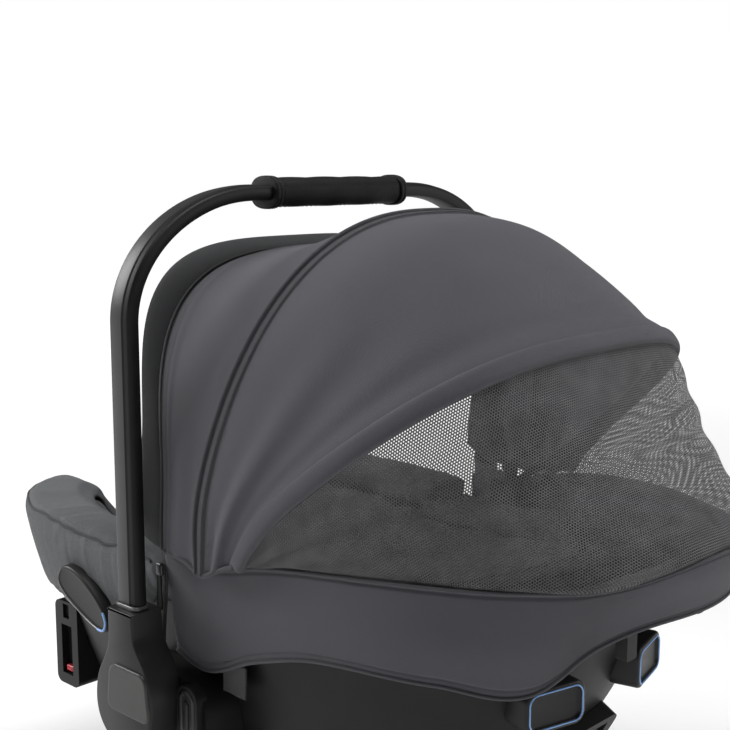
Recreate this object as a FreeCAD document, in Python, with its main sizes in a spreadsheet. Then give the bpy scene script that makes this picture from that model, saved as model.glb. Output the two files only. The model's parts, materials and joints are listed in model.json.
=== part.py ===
import FreeCAD, Part
import math
import os
import re
import Sketcher
from FreeCAD import Placement, Rotation, Vector

# Infant car seat, millimetres.  +Z up, foot end towards -Y, head end towards +Y.
# The origin lies on the floor, under the carry handle's pivot axis.
# "left" is the occupant's left, +X.

document = FreeCAD.newDocument("infant_car_seat")
sheet = document.addObject("Spreadsheet::Sheet", "dimensions")

driving = {
    # shell, seen as stacked ovals
    "seat_height": 345, "seat_half_width": 188, "foot_reach": 322, "head_reach": 345,
    "oval_middle": 20, "shell_wall": 4, "layer_gap": 0.4,
    "rim_height": 272, "rim_rise": 66, "dip_height": 212, "dip_half_width": 100,
    # seating bowl
    "bowl_floor": 78, "bowl_side_inset": 38, "bowl_foot_inset": 42, "bowl_head_inset": 55,
    "bowl_shift": 15, "pad_thickness": 12,
    # foot cushion
    "cushion_top": 289, "cushion_hem": 212, "cushion_outset": 7, "cushion_cover": 16, "cushion_end": 2,
    # base
    "base_width": 216, "base_length": 250, "base_height": 30, "base_shift": 12, "base_corner": 30,
    "latch_bar_radius": 5, "latch_bay_width": 124, "latch_bay_length": 44, "latch_bay_depth": 23,
    "latch_spacing": 170, "latch_bar_height": 11, "latch_bar_bury": 20, "foot_screw_radius": 4,
    "foot_screw_sink": 6,
    "grip_width": 12, "grip_length": 180, "grip_thickness": 3, "grip_spacing": 184,
    # carry handle
    "grip_height": 570, "leg_outset": 27.5, "corner_across": 123, "corner_up": 94,
    "tube_width": 13, "tube_depth": 24, "tube_round": 5, "collar_height": 262,
    "grip_span": 138, "grip_tall": 24, "grip_deep": 31, "grip_band": 8, "grip_core_gap": 0.1,
    "pivot_height": 184, "hub_radius": 35, "hub_inset": 15.5, "hub_thickness": 28,
    "hub_neck_width": 32, "cover_width": 50, "cover_height": 39, "cover_thickness": 2,
    "cover_shift": 10, "cover_rise": 15, "pin_radius": 10, "pin_gap": 0.05, "pin_bury": 24,
    # side housings and handle buttons
    "housing_width": 100, "housing_height": 92, "housing_drop": 20, "housing_shift": 16,
    "housing_root": 28.5, "housing_corner": 26, "side_gap": 0.5,
    "button_width": 18, "button_height": 50, "button_proud": 6,
    "button_shift": 50, "button_drop": 4, "button_travel": 4, "button_gap": 0.3,
    # belt guides
    "guide_length": 76, "guide_height": 30, "guide_thickness": 9, "guide_centre": -97,
    "guide_centre_height": 237, "guide_tilt": 26,
    "rear_guide_width": 56, "rear_guide_height": 34, "rear_guide_depth": 40,
    "rear_guide_shift": 104, "rear_guide_level": 226, "rear_guide_turn": 38, "rear_guide_back": 96.6,
    # stroller adapter sockets
    "socket_shift": -182, "socket_level": 166, "socket_width": 34, "socket_height": 78,
    "socket_inset": 30, "socket_depth": 54, "socket_lip": 7, "socket_slot_width": 16,
    "socket_slot_height": 46, "socket_slot_drop": 6, "tab_width": 9, "tab_height": 13, "tab_thickness": 3,
    "tab_drop": 9,
    # canopy
    "canopy_pivot_shift": 55, "canopy_pivot_height": 288, "canopy_thickness": 2,
    "brim_angle": -23.5, "brim_outset": 17, "brim_rise": 268,
    "front_angle": -18.6, "front_outset": 15, "front_rise": 247,
    "middle_angle": 12.2, "middle_outset": 18, "middle_rise": 272.5,
    "rear_angle": 50.4, "rear_outset": 18, "rear_rise": 286,
    "mesh_outset": 4, "mesh_head_inset": 17, "mesh_end_angle": 87,
    "brim_thickness": 8, "brim_gap": 0.5, "binding_band": 10, "binding_thickness": 5,
    "hem_band": 12, "hem_thickness": 8, "bow_width": 7, "bow_thickness": 3, "band_gap": 0.5,
    "ear_radius": 9, "ear_thickness": 3, "ear_inset": 11, "ear_pitch": 3.4, "bow_drop": 5,
    "canopy_pin_radius": 4, "bow_start": 33, "bracket_width": 30, "bracket_thickness": 6,
    "bracket_gap": 0.4, "bracket_seat": 0.3, "flange_reach": 20, "flange_thickness": 3, "cap_thickness": 1.2,
    # skirt, zip and small trim
    "skirt_outset": 4, "skirt_head_outset": 33, "skirt_middle": 110, "skirt_wall": 2,
    "skirt_front": 8.4, "skirt_top": 294, "skirt_hem": 212, "zip_inset": 0.5, "zip_gap": 0.3,
    "zip_width": 5.6, "zip_top": 291, "zip_bottom": 229, "zip_thickness": 4,
    "puller_length": 30, "tag_width": 26, "tag_height": 24, "tag_shift": 77,
    "tag_level": 224, "hook_shift": 62, "hook_width": 12, "hook_height": 22, "hook_depth": 9,
    "hook_level": 290, "hook_inset": 41.6,
    # release lever at the back
    "release_width": 104, "release_height": 62, "release_level": 150, "release_depth": 40,
    "release_lip": 12, "lever_width": 80, "lever_height": 30, "lever_thickness": 8,
    "lever_sink": 2.5, "lever_travel": 8, "lever_gap": 0.4,
    # harness
    "strap_width": 28, "strap_thickness": 1.8, "strap_inner": 12, "strap_top": 196,
    "strap_clearance": 2.6, "hip_strap_length": 80, "hip_strap_shift": 10, "chest_pad_thickness": 8,
    "buckle_width": 48, "buckle_depth": 20, "buckle_button_drop": 6, "buckle_button_bury": 4,
    "buckle_height": 52, "buckle_shift": -48, "buckle_level": 138, "buckle_button_size": 24,
    "buckle_button_proud": 2, "buckle_travel": 4, "tongue_thickness": 3, "tongue_height": 18,
    "adjuster_width": 38, "adjuster_length": 34, "adjuster_height": 30, "adjuster_shift": -92,
    "adjuster_level": 112, "adjuster_button_width": 18, "adjuster_travel": 3,
    # head pillow
    "pillow_width": 220, "pillow_depth": 62, "pillow_length": 104, "pillow_wall": 34,
    "pillow_back": 14, "pillow_level": 244, "pillow_shift": 176, "pillow_tilt": 30,
}
for row, (alias, size) in enumerate(driving.items(), start=1):
    sheet.set(f"A{row}", alias)
    sheet.set(f"B{row}", str(size))
    sheet.setAlias(f"B{row}", alias)
document.recompute()

# Sizes that follow the driving ones: each is a sum of them, with a minus before what is taken away.
following = {
    "bowl_half_width": ("seat_half_width", "-bowl_side_inset"),
    "bowl_foot_reach": ("foot_reach", "-bowl_foot_inset"),
    "bowl_head_reach": ("head_reach", "-bowl_head_inset"),
    "leg_half_span": ("seat_half_width", "leg_outset"),
    "hub_inner_face": ("seat_half_width", "leg_outset", "-hub_inset"),
    "housing_depth": ("leg_outset", "housing_root", "-hub_inset", "-side_gap"),
    "socket_face": ("seat_half_width", "-socket_inset"),
    "brim_width": ("seat_half_width", "brim_outset"),
    "front_width": ("seat_half_width", "front_outset"),
    "middle_width": ("seat_half_width", "middle_outset"),
    "rear_width": ("seat_half_width", "rear_outset"),
    "mesh_width": ("seat_half_width", "mesh_outset"),
    "mesh_rise": ("head_reach", "-mesh_head_inset"),
    "ear_inner_face": ("seat_half_width", "-ear_inset"),
    "skirt_half_width": ("seat_half_width", "skirt_outset"),
    "skirt_reach": ("head_reach", "skirt_head_outset"),
}
subParts = []


# Helpers

def value(alias):
    if alias in following:
        return sum(-value(term[1:]) if term[0] == "-" else value(term) for term in following[alias])
    return float(sheet.get(alias))


# Words of a formula that are aliases become references to the sheet, and a size that follows others
# becomes its sum.
def formula(text):
    def reference(match):
        word = match.group(0)
        if word in following:
            terms = [f"- dimensions.{term[1:]}" if term[0] == "-" else f"+ dimensions.{term}"
                     for term in following[word]]
            return "(" + " ".join(terms).removeprefix("+ ") + ")"
        return f"dimensions.{word}" if word in driving else word
    return re.sub(r"[a-z]+(?:_[a-z]+)*", reference, str(text))


def bind(item, **formulas):
    for name, text in formulas.items():
        item.setExpression(name, formula(text))


def bindCentre(item, centre):
    for axis, text in zip("xyz", centre):
        item.setExpression(f".Placement.Base.{axis}", formula(text))


def keep(item, label):
    item.Label = label
    subParts.append(item)
    return item


def feature(label, shape):
    item = document.addObject("Part::Feature", label)
    item.Shape = shape
    return item


def cut(label, base, *tools):
    for number, tool in enumerate(tools, start=1):
        step = document.addObject("Part::Cut", f"{label}_step{number}")
        step.Base = base
        step.Tool = tool
        base = step
    return base


def common(label, first, second):
    step = document.addObject("Part::Common", label + "_common")
    step.Base = first
    step.Tool = second
    return step


def fuse(label, *pieces):
    step = document.addObject("Part::MultiFuse", label + "_fused")
    step.Shapes = list(pieces)
    return step


planes = {"x": "YZ_Plane", "y": "XZ_Plane", "z": "XY_Plane"}
directions = {"x": Vector(1, 0, 0), "y": Vector(0, 1, 0), "z": Vector(0, 0, 1)}


def sketchOn(body, name, normal):
    sketch = body.newObject("Sketcher::SketchObject", name)
    origin = [item for item in body.Origin.OriginFeatures if item.Role == planes[normal]][0]
    sketch.AttachmentSupport = [(origin, "")]
    sketch.MapMode = "FlatFace"
    return sketch


# A rectangle centred on the sketch's origin, its two sides bound to formulas.
def rectangle(sketch, across, up):
    corners = [Vector(-10, -5, 0), Vector(10, -5, 0), Vector(10, 5, 0), Vector(-10, 5, 0)]
    for side in range(4):
        sketch.addGeometry(Part.LineSegment(corners[side], corners[(side + 1) % 4]))
    for side in range(4):
        sketch.addConstraint(Sketcher.Constraint("Coincident", side, 2, (side + 1) % 4, 1))
    for side, kind in enumerate(("Horizontal", "Vertical", "Horizontal", "Vertical")):
        sketch.addConstraint(Sketcher.Constraint(kind, side))
    sketch.addConstraint(Sketcher.Constraint("Symmetric", 0, 1, 1, 2, -1, 1))
    index = sketch.addConstraint(Sketcher.Constraint("DistanceX", 0, 1, 0, 2, 20))
    sketch.renameConstraint(index, "across")
    index = sketch.addConstraint(Sketcher.Constraint("DistanceY", 1, 1, 1, 2, 10))
    sketch.renameConstraint(index, "upward")
    sketch.setExpression("Constraints.across", formula(across))
    sketch.setExpression("Constraints.upward", formula(up))


def edgesAlong(shape, axis):
    names = []
    for number, edge in enumerate(shape.Edges, start=1):
        tangent = edge.tangentAt(edge.FirstParameter)
        straight = edge.Curve.TypeId == "Part::GeomLine"
        if straight and abs(tangent.dot(directions[axis])) > 0.999:
            names.append(f"Edge{number}")
    return names


def endEdges(shape, axis):
    reach = max(vertex.Point.dot(directions[axis]) for vertex in shape.Vertexes)
    names = []
    for number, edge in enumerate(shape.Edges, start=1):
        ends = [vertex.Point.dot(directions[axis]) for vertex in edge.Vertexes]
        if min(ends) > reach - 0.001:
            names.append(f"Edge{number}")
    return names


# A block padded along one axis about its middle, with rounded corners and one softened face.
def block(label, size, centre, corner=None, along="x", soften=None, turn=None):
    body = document.addObject("PartDesign::Body", label)
    across, up, depth = {"x": (size[1], size[2], size[0]), "y": (size[0], size[2], size[1]),
                         "z": (size[0], size[1], size[2])}[along]
    sketch = sketchOn(body, label + "_outline", along)
    rectangle(sketch, across, up)
    pad = body.newObject("PartDesign::Pad", label + "_pad")
    pad.Profile = sketch
    pad.Midplane = True
    bind(pad, Length=depth)
    document.recompute()
    last = pad
    if corner:
        rounding = body.newObject("PartDesign::Fillet", label + "_corners")
        rounding.Base = (last, edgesAlong(last.Shape, along))
        bind(rounding, Radius=corner)
        document.recompute()
        last = rounding
    if soften:
        edging = body.newObject("PartDesign::Fillet", label + "_edge")
        edging.Base = (last, endEdges(last.Shape, along))
        bind(edging, Radius=soften)
        document.recompute()
        last = edging
    body.Tip = last
    if turn:
        body.Placement = Placement(Vector(), turn)
    bindCentre(body, centre)
    return body


# A plain box used to cut pockets.
def boxTool(label, size, centre, turn=None):
    return block(label, size, centre, turn=turn)


def cylinder(label, radius, height, centre, axis):
    item = document.addObject("Part::Cylinder", label)
    bind(item, Radius=radius, Height=height)
    turns = {"x": Rotation(Vector(0, 1, 0), 90), "y": Rotation(Vector(1, 0, 0), -90), "z": Rotation()}
    item.Placement = Placement(Vector(), turns[axis])
    bindCentre(item, centre)
    return item


# Ovals and lofts

ovalPoints = 36


# One closed oval at a height: a superellipse whose foot half is boxier than its head half.
def oval(height, halfWidth, foot, head, middle, squareness):
    points = []
    for step in range(ovalPoints):
        turn = 2 * math.pi * step / ovalPoints
        power = 2 / (squareness[1] if math.sin(turn) > 0 else squareness[0])
        reach = head - middle if math.sin(turn) > 0 else foot + middle
        x = halfWidth * math.copysign(abs(math.cos(turn)) ** power, math.cos(turn))
        y = middle + reach * math.copysign(abs(math.sin(turn)) ** power, math.sin(turn))
        points.append(Vector(x, y, height))
    curve = Part.BSplineCurve()
    knots = [float(step) for step in range(ovalPoints + 1)]
    curve.interpolate(Points=points, PeriodicFlag=True, Parameters=knots)
    return Part.Wire([curve.toShape()])


# Shares of height, half width, foot reach and head reach, from the bottom up, and the squareness of the
# foot half and of the head half.
shellLaw = ((0.087, 0.68, 0.385, 0.43), (0.17, 0.75, 0.47, 0.54), (0.38, 0.84, 0.64, 0.66),
            (0.58, 0.905, 0.80, 0.77), (0.74, 0.957, 0.90, 0.83), (0.87, 0.985, 0.96, 0.905),
            (1.0, 1.0, 1.0, 1.0))
shellSquareness = (3.4, 2.5)
bowlLaw = ((0.0, 0.63, 0.22, 0.17), (0.12, 0.79, 0.44, 0.32), (0.31, 0.89, 0.67, 0.52),
           (0.53, 0.95, 0.85, 0.71), (0.76, 0.98, 0.95, 0.86), (1.0, 1.0, 1.0, 1.0))
bowlSquareness = (2.8, 2.6)
skirtLaw = ((0.55, 0.94, 0.5, 0.86), (0.71, 0.95, 0.5, 0.90), (0.84, 0.99, 0.5, 0.955),
            (0.95, 1.0, 0.5, 0.995), (1.04, 1.0, 0.5, 1.0))
skirtSquareness = (4.0, 2.0)
loftDegree = 5


def shellLoft(inset):
    wires = []
    for share, wide, foot, head in shellLaw:
        wires.append(oval(share * value("seat_height"), wide * value("seat_half_width") - inset,
                          foot * value("foot_reach") - inset, head * value("head_reach") - inset,
                          value("oval_middle"), shellSquareness))
    return Part.makeLoft(wires, True, False, False, loftDegree)


def bowlSize(share):
    for low, high in zip(bowlLaw, bowlLaw[1:]):
        if share <= high[0]:
            blend = (share - low[0]) / (high[0] - low[0])
            return [a + (b - a) * blend for a, b in zip(low[1:], high[1:])]
    return list(bowlLaw[-1][1:])


def bowlLoft(inset):
    wires = []
    depth = value("seat_height") - value("bowl_floor")
    for share, wide, foot, head in bowlLaw:
        wires.append(oval(value("bowl_floor") + share * depth, wide * value("bowl_half_width") - inset,
                          foot * value("bowl_foot_reach") - inset,
                          head * value("bowl_head_reach") - inset,
                          value("oval_middle") - value("bowl_shift"), bowlSquareness))
    return Part.makeLoft(wires, True, False, False, loftDegree)


def skirtLoft(inset):
    wires = []
    for share, wide, foot, head in skirtLaw:
        wires.append(oval(share * value("seat_height"), wide * value("skirt_half_width") - inset,
                          foot * value("foot_reach"), head * value("skirt_reach") - inset,
                          value("skirt_middle"), skirtSquareness))
    return Part.makeLoft(wires, True, False, False, loftDegree)


farAway = 900.0


def slab(low, high):
    return Part.makeBox(high[0] - low[0], high[1] - low[1], high[2] - low[2], Vector(*low))


def above(height):
    return slab((-farAway, -farAway, height), (farAway, farAway, farAway))


def below(height):
    return slab((-farAway, -farAway, -farAway), (farAway, farAway, height))


# A solid as wide as everything, whose outline in side view has the given points (y, z) on one
# smooth edge and reaches up or down to the far level.
def sideRegion(points, farLevel):
    curve = Part.BSplineCurve()
    curve.interpolate([Vector(-farAway / 2, y, z) for y, z in points])
    first, last = points[0], points[-1]
    corners = [Vector(-farAway / 2, last[0], last[1]), Vector(-farAway / 2, last[0], farLevel),
               Vector(-farAway / 2, first[0], farLevel), Vector(-farAway / 2, first[0], first[1])]
    edges = [curve.toShape()]
    for start, end in zip(corners, corners[1:]):
        edges.append(Part.LineSegment(start, end).toShape())
    return Part.Face(Part.Wire(edges)).extrude(Vector(farAway, 0, 0))


# A side line: shares of a reach and rises above a level, carried on level past both ends.
def sideLine(shares, reach, level, scale=1.0):
    points = [(share * reach, level + rise * scale) for share, rise in shares]
    return [(-farAway / 2, points[0][1])] + points + [(farAway / 2, points[-1][1])]


# Everything above the shell's rim, which runs level and then climbs behind the head.
rimLine = ((-0.29, 0.0), (0.30, 0.0), (0.58, 0.30), (1.0, 1.0))


def aboveRim(lift):
    level = value("rim_height") + lift
    return sideRegion(sideLine(rimLine, value("head_reach"), level, value("rim_rise")), farAway)


# The dip in the middle of the foot end, seen along the seat: a wide U open to the sky.
dipFlare = 2.6
dipHeadroom = 40.0


def footDip(lift, narrow):
    half = value("dip_half_width") - narrow
    floor = value("dip_height") + lift
    top = value("cushion_top") + dipHeadroom
    points = []
    for step in range(-8, 9):
        share = step / 8
        points.append(Vector(half * share, -farAway, floor + (top - floor) * abs(share) ** dipFlare))
    curve = Part.BSplineCurve()
    curve.interpolate(points)
    lid = Part.LineSegment(points[-1], points[0]).toShape()
    depth = farAway - 0.5 * value("foot_reach")
    return Part.Face(Part.Wire([curve.toShape(), lid])).extrude(Vector(0, depth, 0))


# Shell, foam, pad, cushion

gap = value("layer_gap")
wall = value("shell_wall")
padThickness = value("pad_thickness")
floorLevel = value("bowl_floor")
shellOuter = shellLoft(0)
shellFloor = value("base_height")
# the loft's lowest oval lies just under the top of the base frame
tub = shellOuter.common(above(shellFloor))
tubHollow = shellLoft(wall).common(above(shellFloor + wall))
tub = tub.cut(tubHollow).cut(aboveRim(0)).cut(footDip(0, 0))
shellTub = keep(feature("shell_tub", tub), "shell_tub")

foamOuter = shellLoft(wall + gap).common(above(shellFloor + wall + gap))
foam = foamOuter.cut(bowlLoft(0).common(above(floorLevel))).cut(aboveRim(0)).cut(footDip(0, 0))
foamLiner = keep(feature("foam_liner", foam), "foam_liner")

padOuter = bowlLoft(gap).common(above(floorLevel + gap))
padHollow = bowlLoft(padThickness).common(above(floorLevel + padThickness))
pad = padOuter.cut(padHollow).cut(aboveRim(0)).cut(footDip(0, 0))
seatPad = keep(feature("seat_pad", pad), "seat_pad")

# The cushion wraps over the rim of the foot end and down the outside to its hem.
cushion = shellLoft(-value("cushion_outset")).common(below(value("cushion_top")))
cushion = cushion.cut(bowlLoft(padThickness + 2 * gap))
held = shellLoft(-gap).cut(aboveRim(gap)).cut(footDip(gap, gap))
cushion = cushion.cut(held)
cushion = cushion.cut(footDip(value("cushion_cover"), value("cushion_cover") / 2))
cushionHem = ((-1.05, 24), (-0.829, 12), (-0.733, 0), (-0.590, 0), (-0.217, 4), (-0.130, 19))
cushion = cushion.cut(sideRegion(sideLine(cushionHem, value("foot_reach"), value("cushion_hem")), -farAway))
cushion = cushion.cut(slab((-farAway, value("cushion_end"), -farAway), (farAway, farAway, farAway)))
footCushion = keep(feature("foot_cushion", cushion), "foot_cushion")

# Shapes that outside pieces are trimmed against.
shellClear = feature("shell_clearance", shellLoft(-gap))
cushionClear = feature("cushion_clearance", shellLoft(-value("cushion_outset") - gap))
insideBowl = bowlLoft(padThickness + gap).common(above(floorLevel + padThickness + gap))
padClear = feature("pad_clearance", insideBowl)

# Base

screwPlaces = (0.36, 0.22)  # shares of the base's width and length
bayTools = []
screwTools = []
bars = []
screws = []
for end, sign in (("front", -1), ("rear", 1)):
    place = f"base_shift + {sign} * latch_spacing / 2"
    bayTools.append(boxTool(f"{end}_latch_bay", ("latch_bay_width", "latch_bay_length", "latch_bay_depth * 2"),
                            ("0", place, "0")))
    barHole = cylinder(f"{end}_latch_hole", "latch_bar_radius + pin_gap",
                       "latch_bay_width + 2 * latch_bar_bury",
                       ("-latch_bay_width / 2 - latch_bar_bury", place, "latch_bar_height"), "x")
    bayTools.append(barHole)
    bars.append(cylinder(f"{end}_latch_bar", "latch_bar_radius", "latch_bay_width + 2 * latch_bar_bury",
                         ("-latch_bay_width / 2 - latch_bar_bury", place, "latch_bar_height"), "x"))
    for hand in (-1, 1):
        spot = (f"{hand} * base_width * {screwPlaces[0]}",
                f"base_shift + {sign} * base_length * {screwPlaces[1]}")
        screwTools.append(cylinder(f"{end}_screw_hole", "foot_screw_radius + 0.1", "base_height + 2",
                                   (*spot, "-1"), "z"))
        screws.append(cylinder(f"{end}_screw", "foot_screw_radius", "base_height - foot_screw_sink",
                               (*spot, "foot_screw_sink"), "z"))
grips = []
for hand in (-1, 1):
    spot = (f"{hand} * grip_spacing / 2", "base_shift", "grip_thickness / 2")
    bayTools.append(boxTool("grip_groove", ("grip_width + 0.2", "grip_length + 0.2", "grip_thickness + 0.1"),
                            spot))
    grips.append(block("grip_strip", ("grip_width", "grip_length", "grip_thickness"), spot,
                       corner="grip_width * 0.3", along="z"))
baseBlock = block("base_block", ("base_width", "base_length", "base_height - 0.2"),
                  ("0", "base_shift", "(base_height - 0.2) / 2"), corner="base_corner", along="z")
keep(cut("base_frame", baseBlock, *bayTools, *screwTools), "base_frame")
keep(fuse("latch_bars", *bars), "latch_bars")
keep(fuse("grip_strips", *grips), "grip_strips")
keep(fuse("base_screws", *screws), "base_screws")

# Carry handle

handleBody = document.addObject("PartDesign::Body", "handle_tube")
handlePath = sketchOn(handleBody, "handle_path", "y")
span = value("leg_half_span")
top = value("grip_height")
across = value("corner_across")
up = value("corner_up")
collar = value("collar_height")


def handleCorner(centreX, quarter):
    ellipse = Part.Ellipse(Vector(centreX + across, top - up, 0), Vector(centreX, top, 0),
                           Vector(centreX, top - up, 0))
    return Part.ArcOfEllipse(ellipse, quarter * math.pi / 2, (quarter + 1) * math.pi / 2)


handlePath.addGeometry(Part.LineSegment(Vector(span, collar, 0), Vector(span, top - up, 0)))
handlePath.addGeometry(handleCorner(span - across, 0))
handlePath.addGeometry(Part.LineSegment(Vector(span - across, top, 0), Vector(-span + across, top, 0)))
handlePath.addGeometry(handleCorner(-span + across, 1))
handlePath.addGeometry(Part.LineSegment(Vector(-span, top - up, 0), Vector(-span, collar, 0)))
tubeSection = sketchOn(handleBody, "tube_section", "z")
tubeSection.AttachmentOffset = Placement(Vector(span, 0, collar), Rotation())
halfWide = value("tube_width") / 2
halfDeep = value("tube_depth") / 2
corner = value("tube_round")


# A rounded rectangle drawn counter-clockwise: four sides and four quarter circles.
def roundedOutline(sketch, halfX, halfY, radius):
    quarters = ((1, 1, 0), (-1, 1, 1), (-1, -1, 2), (1, -1, 3))
    ends = []
    for signX, signY, quarter in quarters:
        centre = Vector(signX * (halfX - radius), signY * (halfY - radius), 0)
        arc = Part.ArcOfCircle(Part.Circle(centre, Vector(0, 0, 1), radius), quarter * math.pi / 2,
                               (quarter + 1) * math.pi / 2)
        sketch.addGeometry(arc)
        ends.append((arc.StartPoint, arc.EndPoint))
    for index in range(4):
        sketch.addGeometry(Part.LineSegment(ends[index][1], ends[(index + 1) % 4][0]))


roundedOutline(tubeSection, halfWide, halfDeep, corner)
document.recompute()
handlePipe = handleBody.newObject("PartDesign::AdditivePipe", "handle_pipe")
handlePipe.Profile = tubeSection
handlePipe.Spine = handlePath
document.recompute()
handleBody.Tip = handlePipe
keep(handleBody, "handle_tube")

# The soft grip and its end bands are sleeves around the tube's straight top.
tubeCore = block("tube_core",
                 ("leg_half_span", "tube_depth + 2 * grip_core_gap", "tube_width + 2 * grip_core_gap"),
                 ("0", "0", "grip_height"), corner="tube_round + grip_core_gap")
gripSleeve = block("grip_sleeve", ("grip_span", "grip_deep", "grip_tall"), ("0", "0", "grip_height"),
                   corner="grip_tall * 0.46")
keep(cut("handle_grip", gripSleeve, tubeCore), "handle_grip")
bands = []
for hand in (-1, 1):
    sleeve = block("grip_band_sleeve", ("grip_band", "grip_deep + 1.6", "grip_tall + 1.6"),
                   (f"{hand} * (grip_span + grip_band + 0.4) / 2", "0", "grip_height"),
                   corner="grip_tall * 0.48")
    bands.append(cut("grip_band", sleeve, tubeCore))
keep(fuse("grip_bands", *bands), "grip_bands")


def handleHub(name, hand):
    half = "hub_thickness / 2"
    centreX = f"{hand} * (hub_inner_face + {half})"
    disc = cylinder(f"hub_disc_{name}", "hub_radius", "hub_thickness",
                    (f"{hand} * hub_inner_face + ({hand} - 1) / 2 * hub_thickness", "0", "pivot_height"), "x")
    neck = block(f"hub_neck_{name}", ("hub_thickness - 4", "hub_neck_width", "collar_height - pivot_height"),
                 (centreX, "0", "(collar_height + pivot_height) / 2"), corner="6")
    shoulder = block(f"hub_shoulder_{name}", ("hub_thickness", "cover_width + 4", "cover_height + 4"),
                     (centreX, "cover_shift", "pivot_height + cover_rise"), corner="12")
    raw = fuse(f"hub_raw_{name}", disc, neck, shoulder)
    bore = cylinder(f"hub_bore_{name}", "pin_radius + pin_gap", "pin_bury * 2",
                    (f"{hand} * hub_inner_face - pin_bury", "0", "pivot_height"), "x")
    keep(cut(f"handle_hub_{name}", raw, bore), f"handle_hub_{name}")
    plate = block(f"hub_cover_{name}", ("cover_thickness", "cover_width", "cover_height"),
                  (f"{hand} * (hub_inner_face + hub_thickness + cover_thickness / 2 + 0.05)",
                   "cover_shift", "pivot_height + cover_rise"), corner="8")
    keep(plate, f"hub_cover_{name}")


for name, hand in (("left", 1), ("right", -1)):
    handleHub(name, hand)

# Side housings and buttons


def sideHousing(name, hand):
    face = "(hub_inner_face - side_gap)"
    buttonPlace = ("button_shift", "pivot_height - button_drop")
    plate = block(f"housing_plate_{name}", ("housing_depth", "housing_width", "housing_height"),
                  (f"{hand} * ({face} - housing_depth / 2)", "housing_shift", "pivot_height - housing_drop"),
                  corner="housing_corner")
    tower = block(f"housing_tower_{name}", ("button_proud + 4", "button_width + 6", "button_height + 6"),
                  (f"{hand} * ({face} + (button_proud + 4) / 2 - 4)", *buttonPlace), corner="11")
    raw = fuse(f"housing_raw_{name}", plate, tower)
    pinHole = cylinder(f"housing_bore_{name}", "pin_radius + pin_gap", "pin_bury * 2",
                       (f"{hand} * ({face}) - pin_bury", "0", "pivot_height"), "x")
    pocketDepth = "button_proud + button_travel + 2"
    pocket = block(f"button_pocket_{name}",
                   (pocketDepth, "button_width + 2 * button_gap", "button_height + 2 * button_gap"),
                   (f"{hand} * ({face} + button_proud + 1 - ({pocketDepth}) / 2)", *buttonPlace), corner="9")
    keep(cut(f"pivot_housing_{name}", raw, shellClear, pinHole, pocket), f"pivot_housing_{name}")
    pin = cylinder(f"whole_pin_{name}", "pin_radius", "2 * pin_bury - 6",
                   (f"{hand} * ({face}) - pin_bury + 3", "0", "pivot_height"), "x")
    keep(cut(f"trimmed_pin_{name}", pin, shellClear), f"pivot_pin_{name}")
    button = block(f"handle_button_{name}", ("button_proud + 0.8", "button_width", "button_height"),
                   (f"{hand} * ({face} + button_proud + 1 - (button_proud + 0.8) / 2)", *buttonPlace),
                   corner="8.7")
    keep(button, f"handle_button_{name}")


for name, hand in (("left", 1), ("right", -1)):
    sideHousing(name, hand)

# Belt guides and sockets


def beltGuide(name, hand):
    turn = Rotation(Vector(1, 0, 0), -value("guide_tilt"))
    plate = block(f"guide_plate_{name}", ("guide_thickness * 3", "guide_length", "guide_height"),
                  (f"{hand} * (seat_half_width - guide_thickness / 2)", "guide_centre", "guide_centre_height"),
                  corner="guide_height * 0.4", turn=turn)
    keep(cut(f"belt_guide_{name}_trimmed", plate, cushionClear), f"belt_guide_{name}")


def adapterSocket(name, hand):
    column = block(f"socket_column_{name}", ("socket_depth", "socket_width", "socket_height"),
                   (f"{hand} * (socket_face - socket_depth / 2)", "socket_shift",
                    "socket_level"), corner="7")
    slot = boxTool(f"socket_slot_{name}", ("socket_lip * 2", "socket_slot_width", "socket_slot_height"),
                   (f"{hand} * (socket_face)", "socket_shift", "socket_level - socket_slot_drop"))
    tabHole = boxTool(f"tab_hole_{name}", ("tab_thickness * 2 + 0.2", "tab_width + 0.2", "tab_height + 0.2"),
                      (f"{hand} * (socket_face)", "socket_shift",
                       "socket_level + socket_height / 2 - tab_drop"))
    keep(cut(f"adapter_socket_{name}", column, shellClear, slot, tabHole), f"adapter_socket_{name}")
    return block(f"tab_{name}", ("tab_thickness", "tab_width", "tab_height"),
                 (f"{hand} * (socket_face - tab_thickness / 2)", "socket_shift",
                  "socket_level + socket_height / 2 - tab_drop"))


tabs = []
for name, hand in (("left", 1), ("right", -1)):
    beltGuide(name, hand)
    tabs.append(adapterSocket(name, hand))
keep(fuse("indicator_tabs", *tabs), "indicator_tabs")

rearGuides = []
for name, hand in (("left", 1), ("right", -1)):
    plate = block(f"rear_guide_{name}", ("rear_guide_width", "rear_guide_depth", "rear_guide_height"),
                  (f"{hand} * rear_guide_shift", "head_reach - rear_guide_back", "rear_guide_level"),
                  corner="9", along="y", turn=Rotation(Vector(0, 0, 1), -hand * value("rear_guide_turn")))
    rearGuides.append(cut(f"rear_guide_{name}_trimmed", plate, shellClear))
keep(fuse("rear_belt_guides", *rearGuides), "rear_belt_guides")

# Canopy

pivot = Vector(0, value("canopy_pivot_shift"), value("canopy_pivot_height"))


def bowPlacement(angle):
    return Placement(pivot, Rotation(Vector(1, 0, 0), -angle))


# Half-hoop points from one side over the top to the other, in the plane of a bow.
def hoopPoints(halfWidth, rise, squareness, start, count=25):
    low = math.asin(min(1.0, (start / rise) ** (squareness / 2)))
    points = []
    for step in range(count):
        turn = low + (math.pi - 2 * low) * step / (count - 1)
        x = halfWidth * math.copysign(abs(math.cos(turn)) ** (2 / squareness), math.cos(turn))
        points.append(Vector(x, 0, rise * abs(math.sin(turn)) ** (2 / squareness)))
    return points


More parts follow.
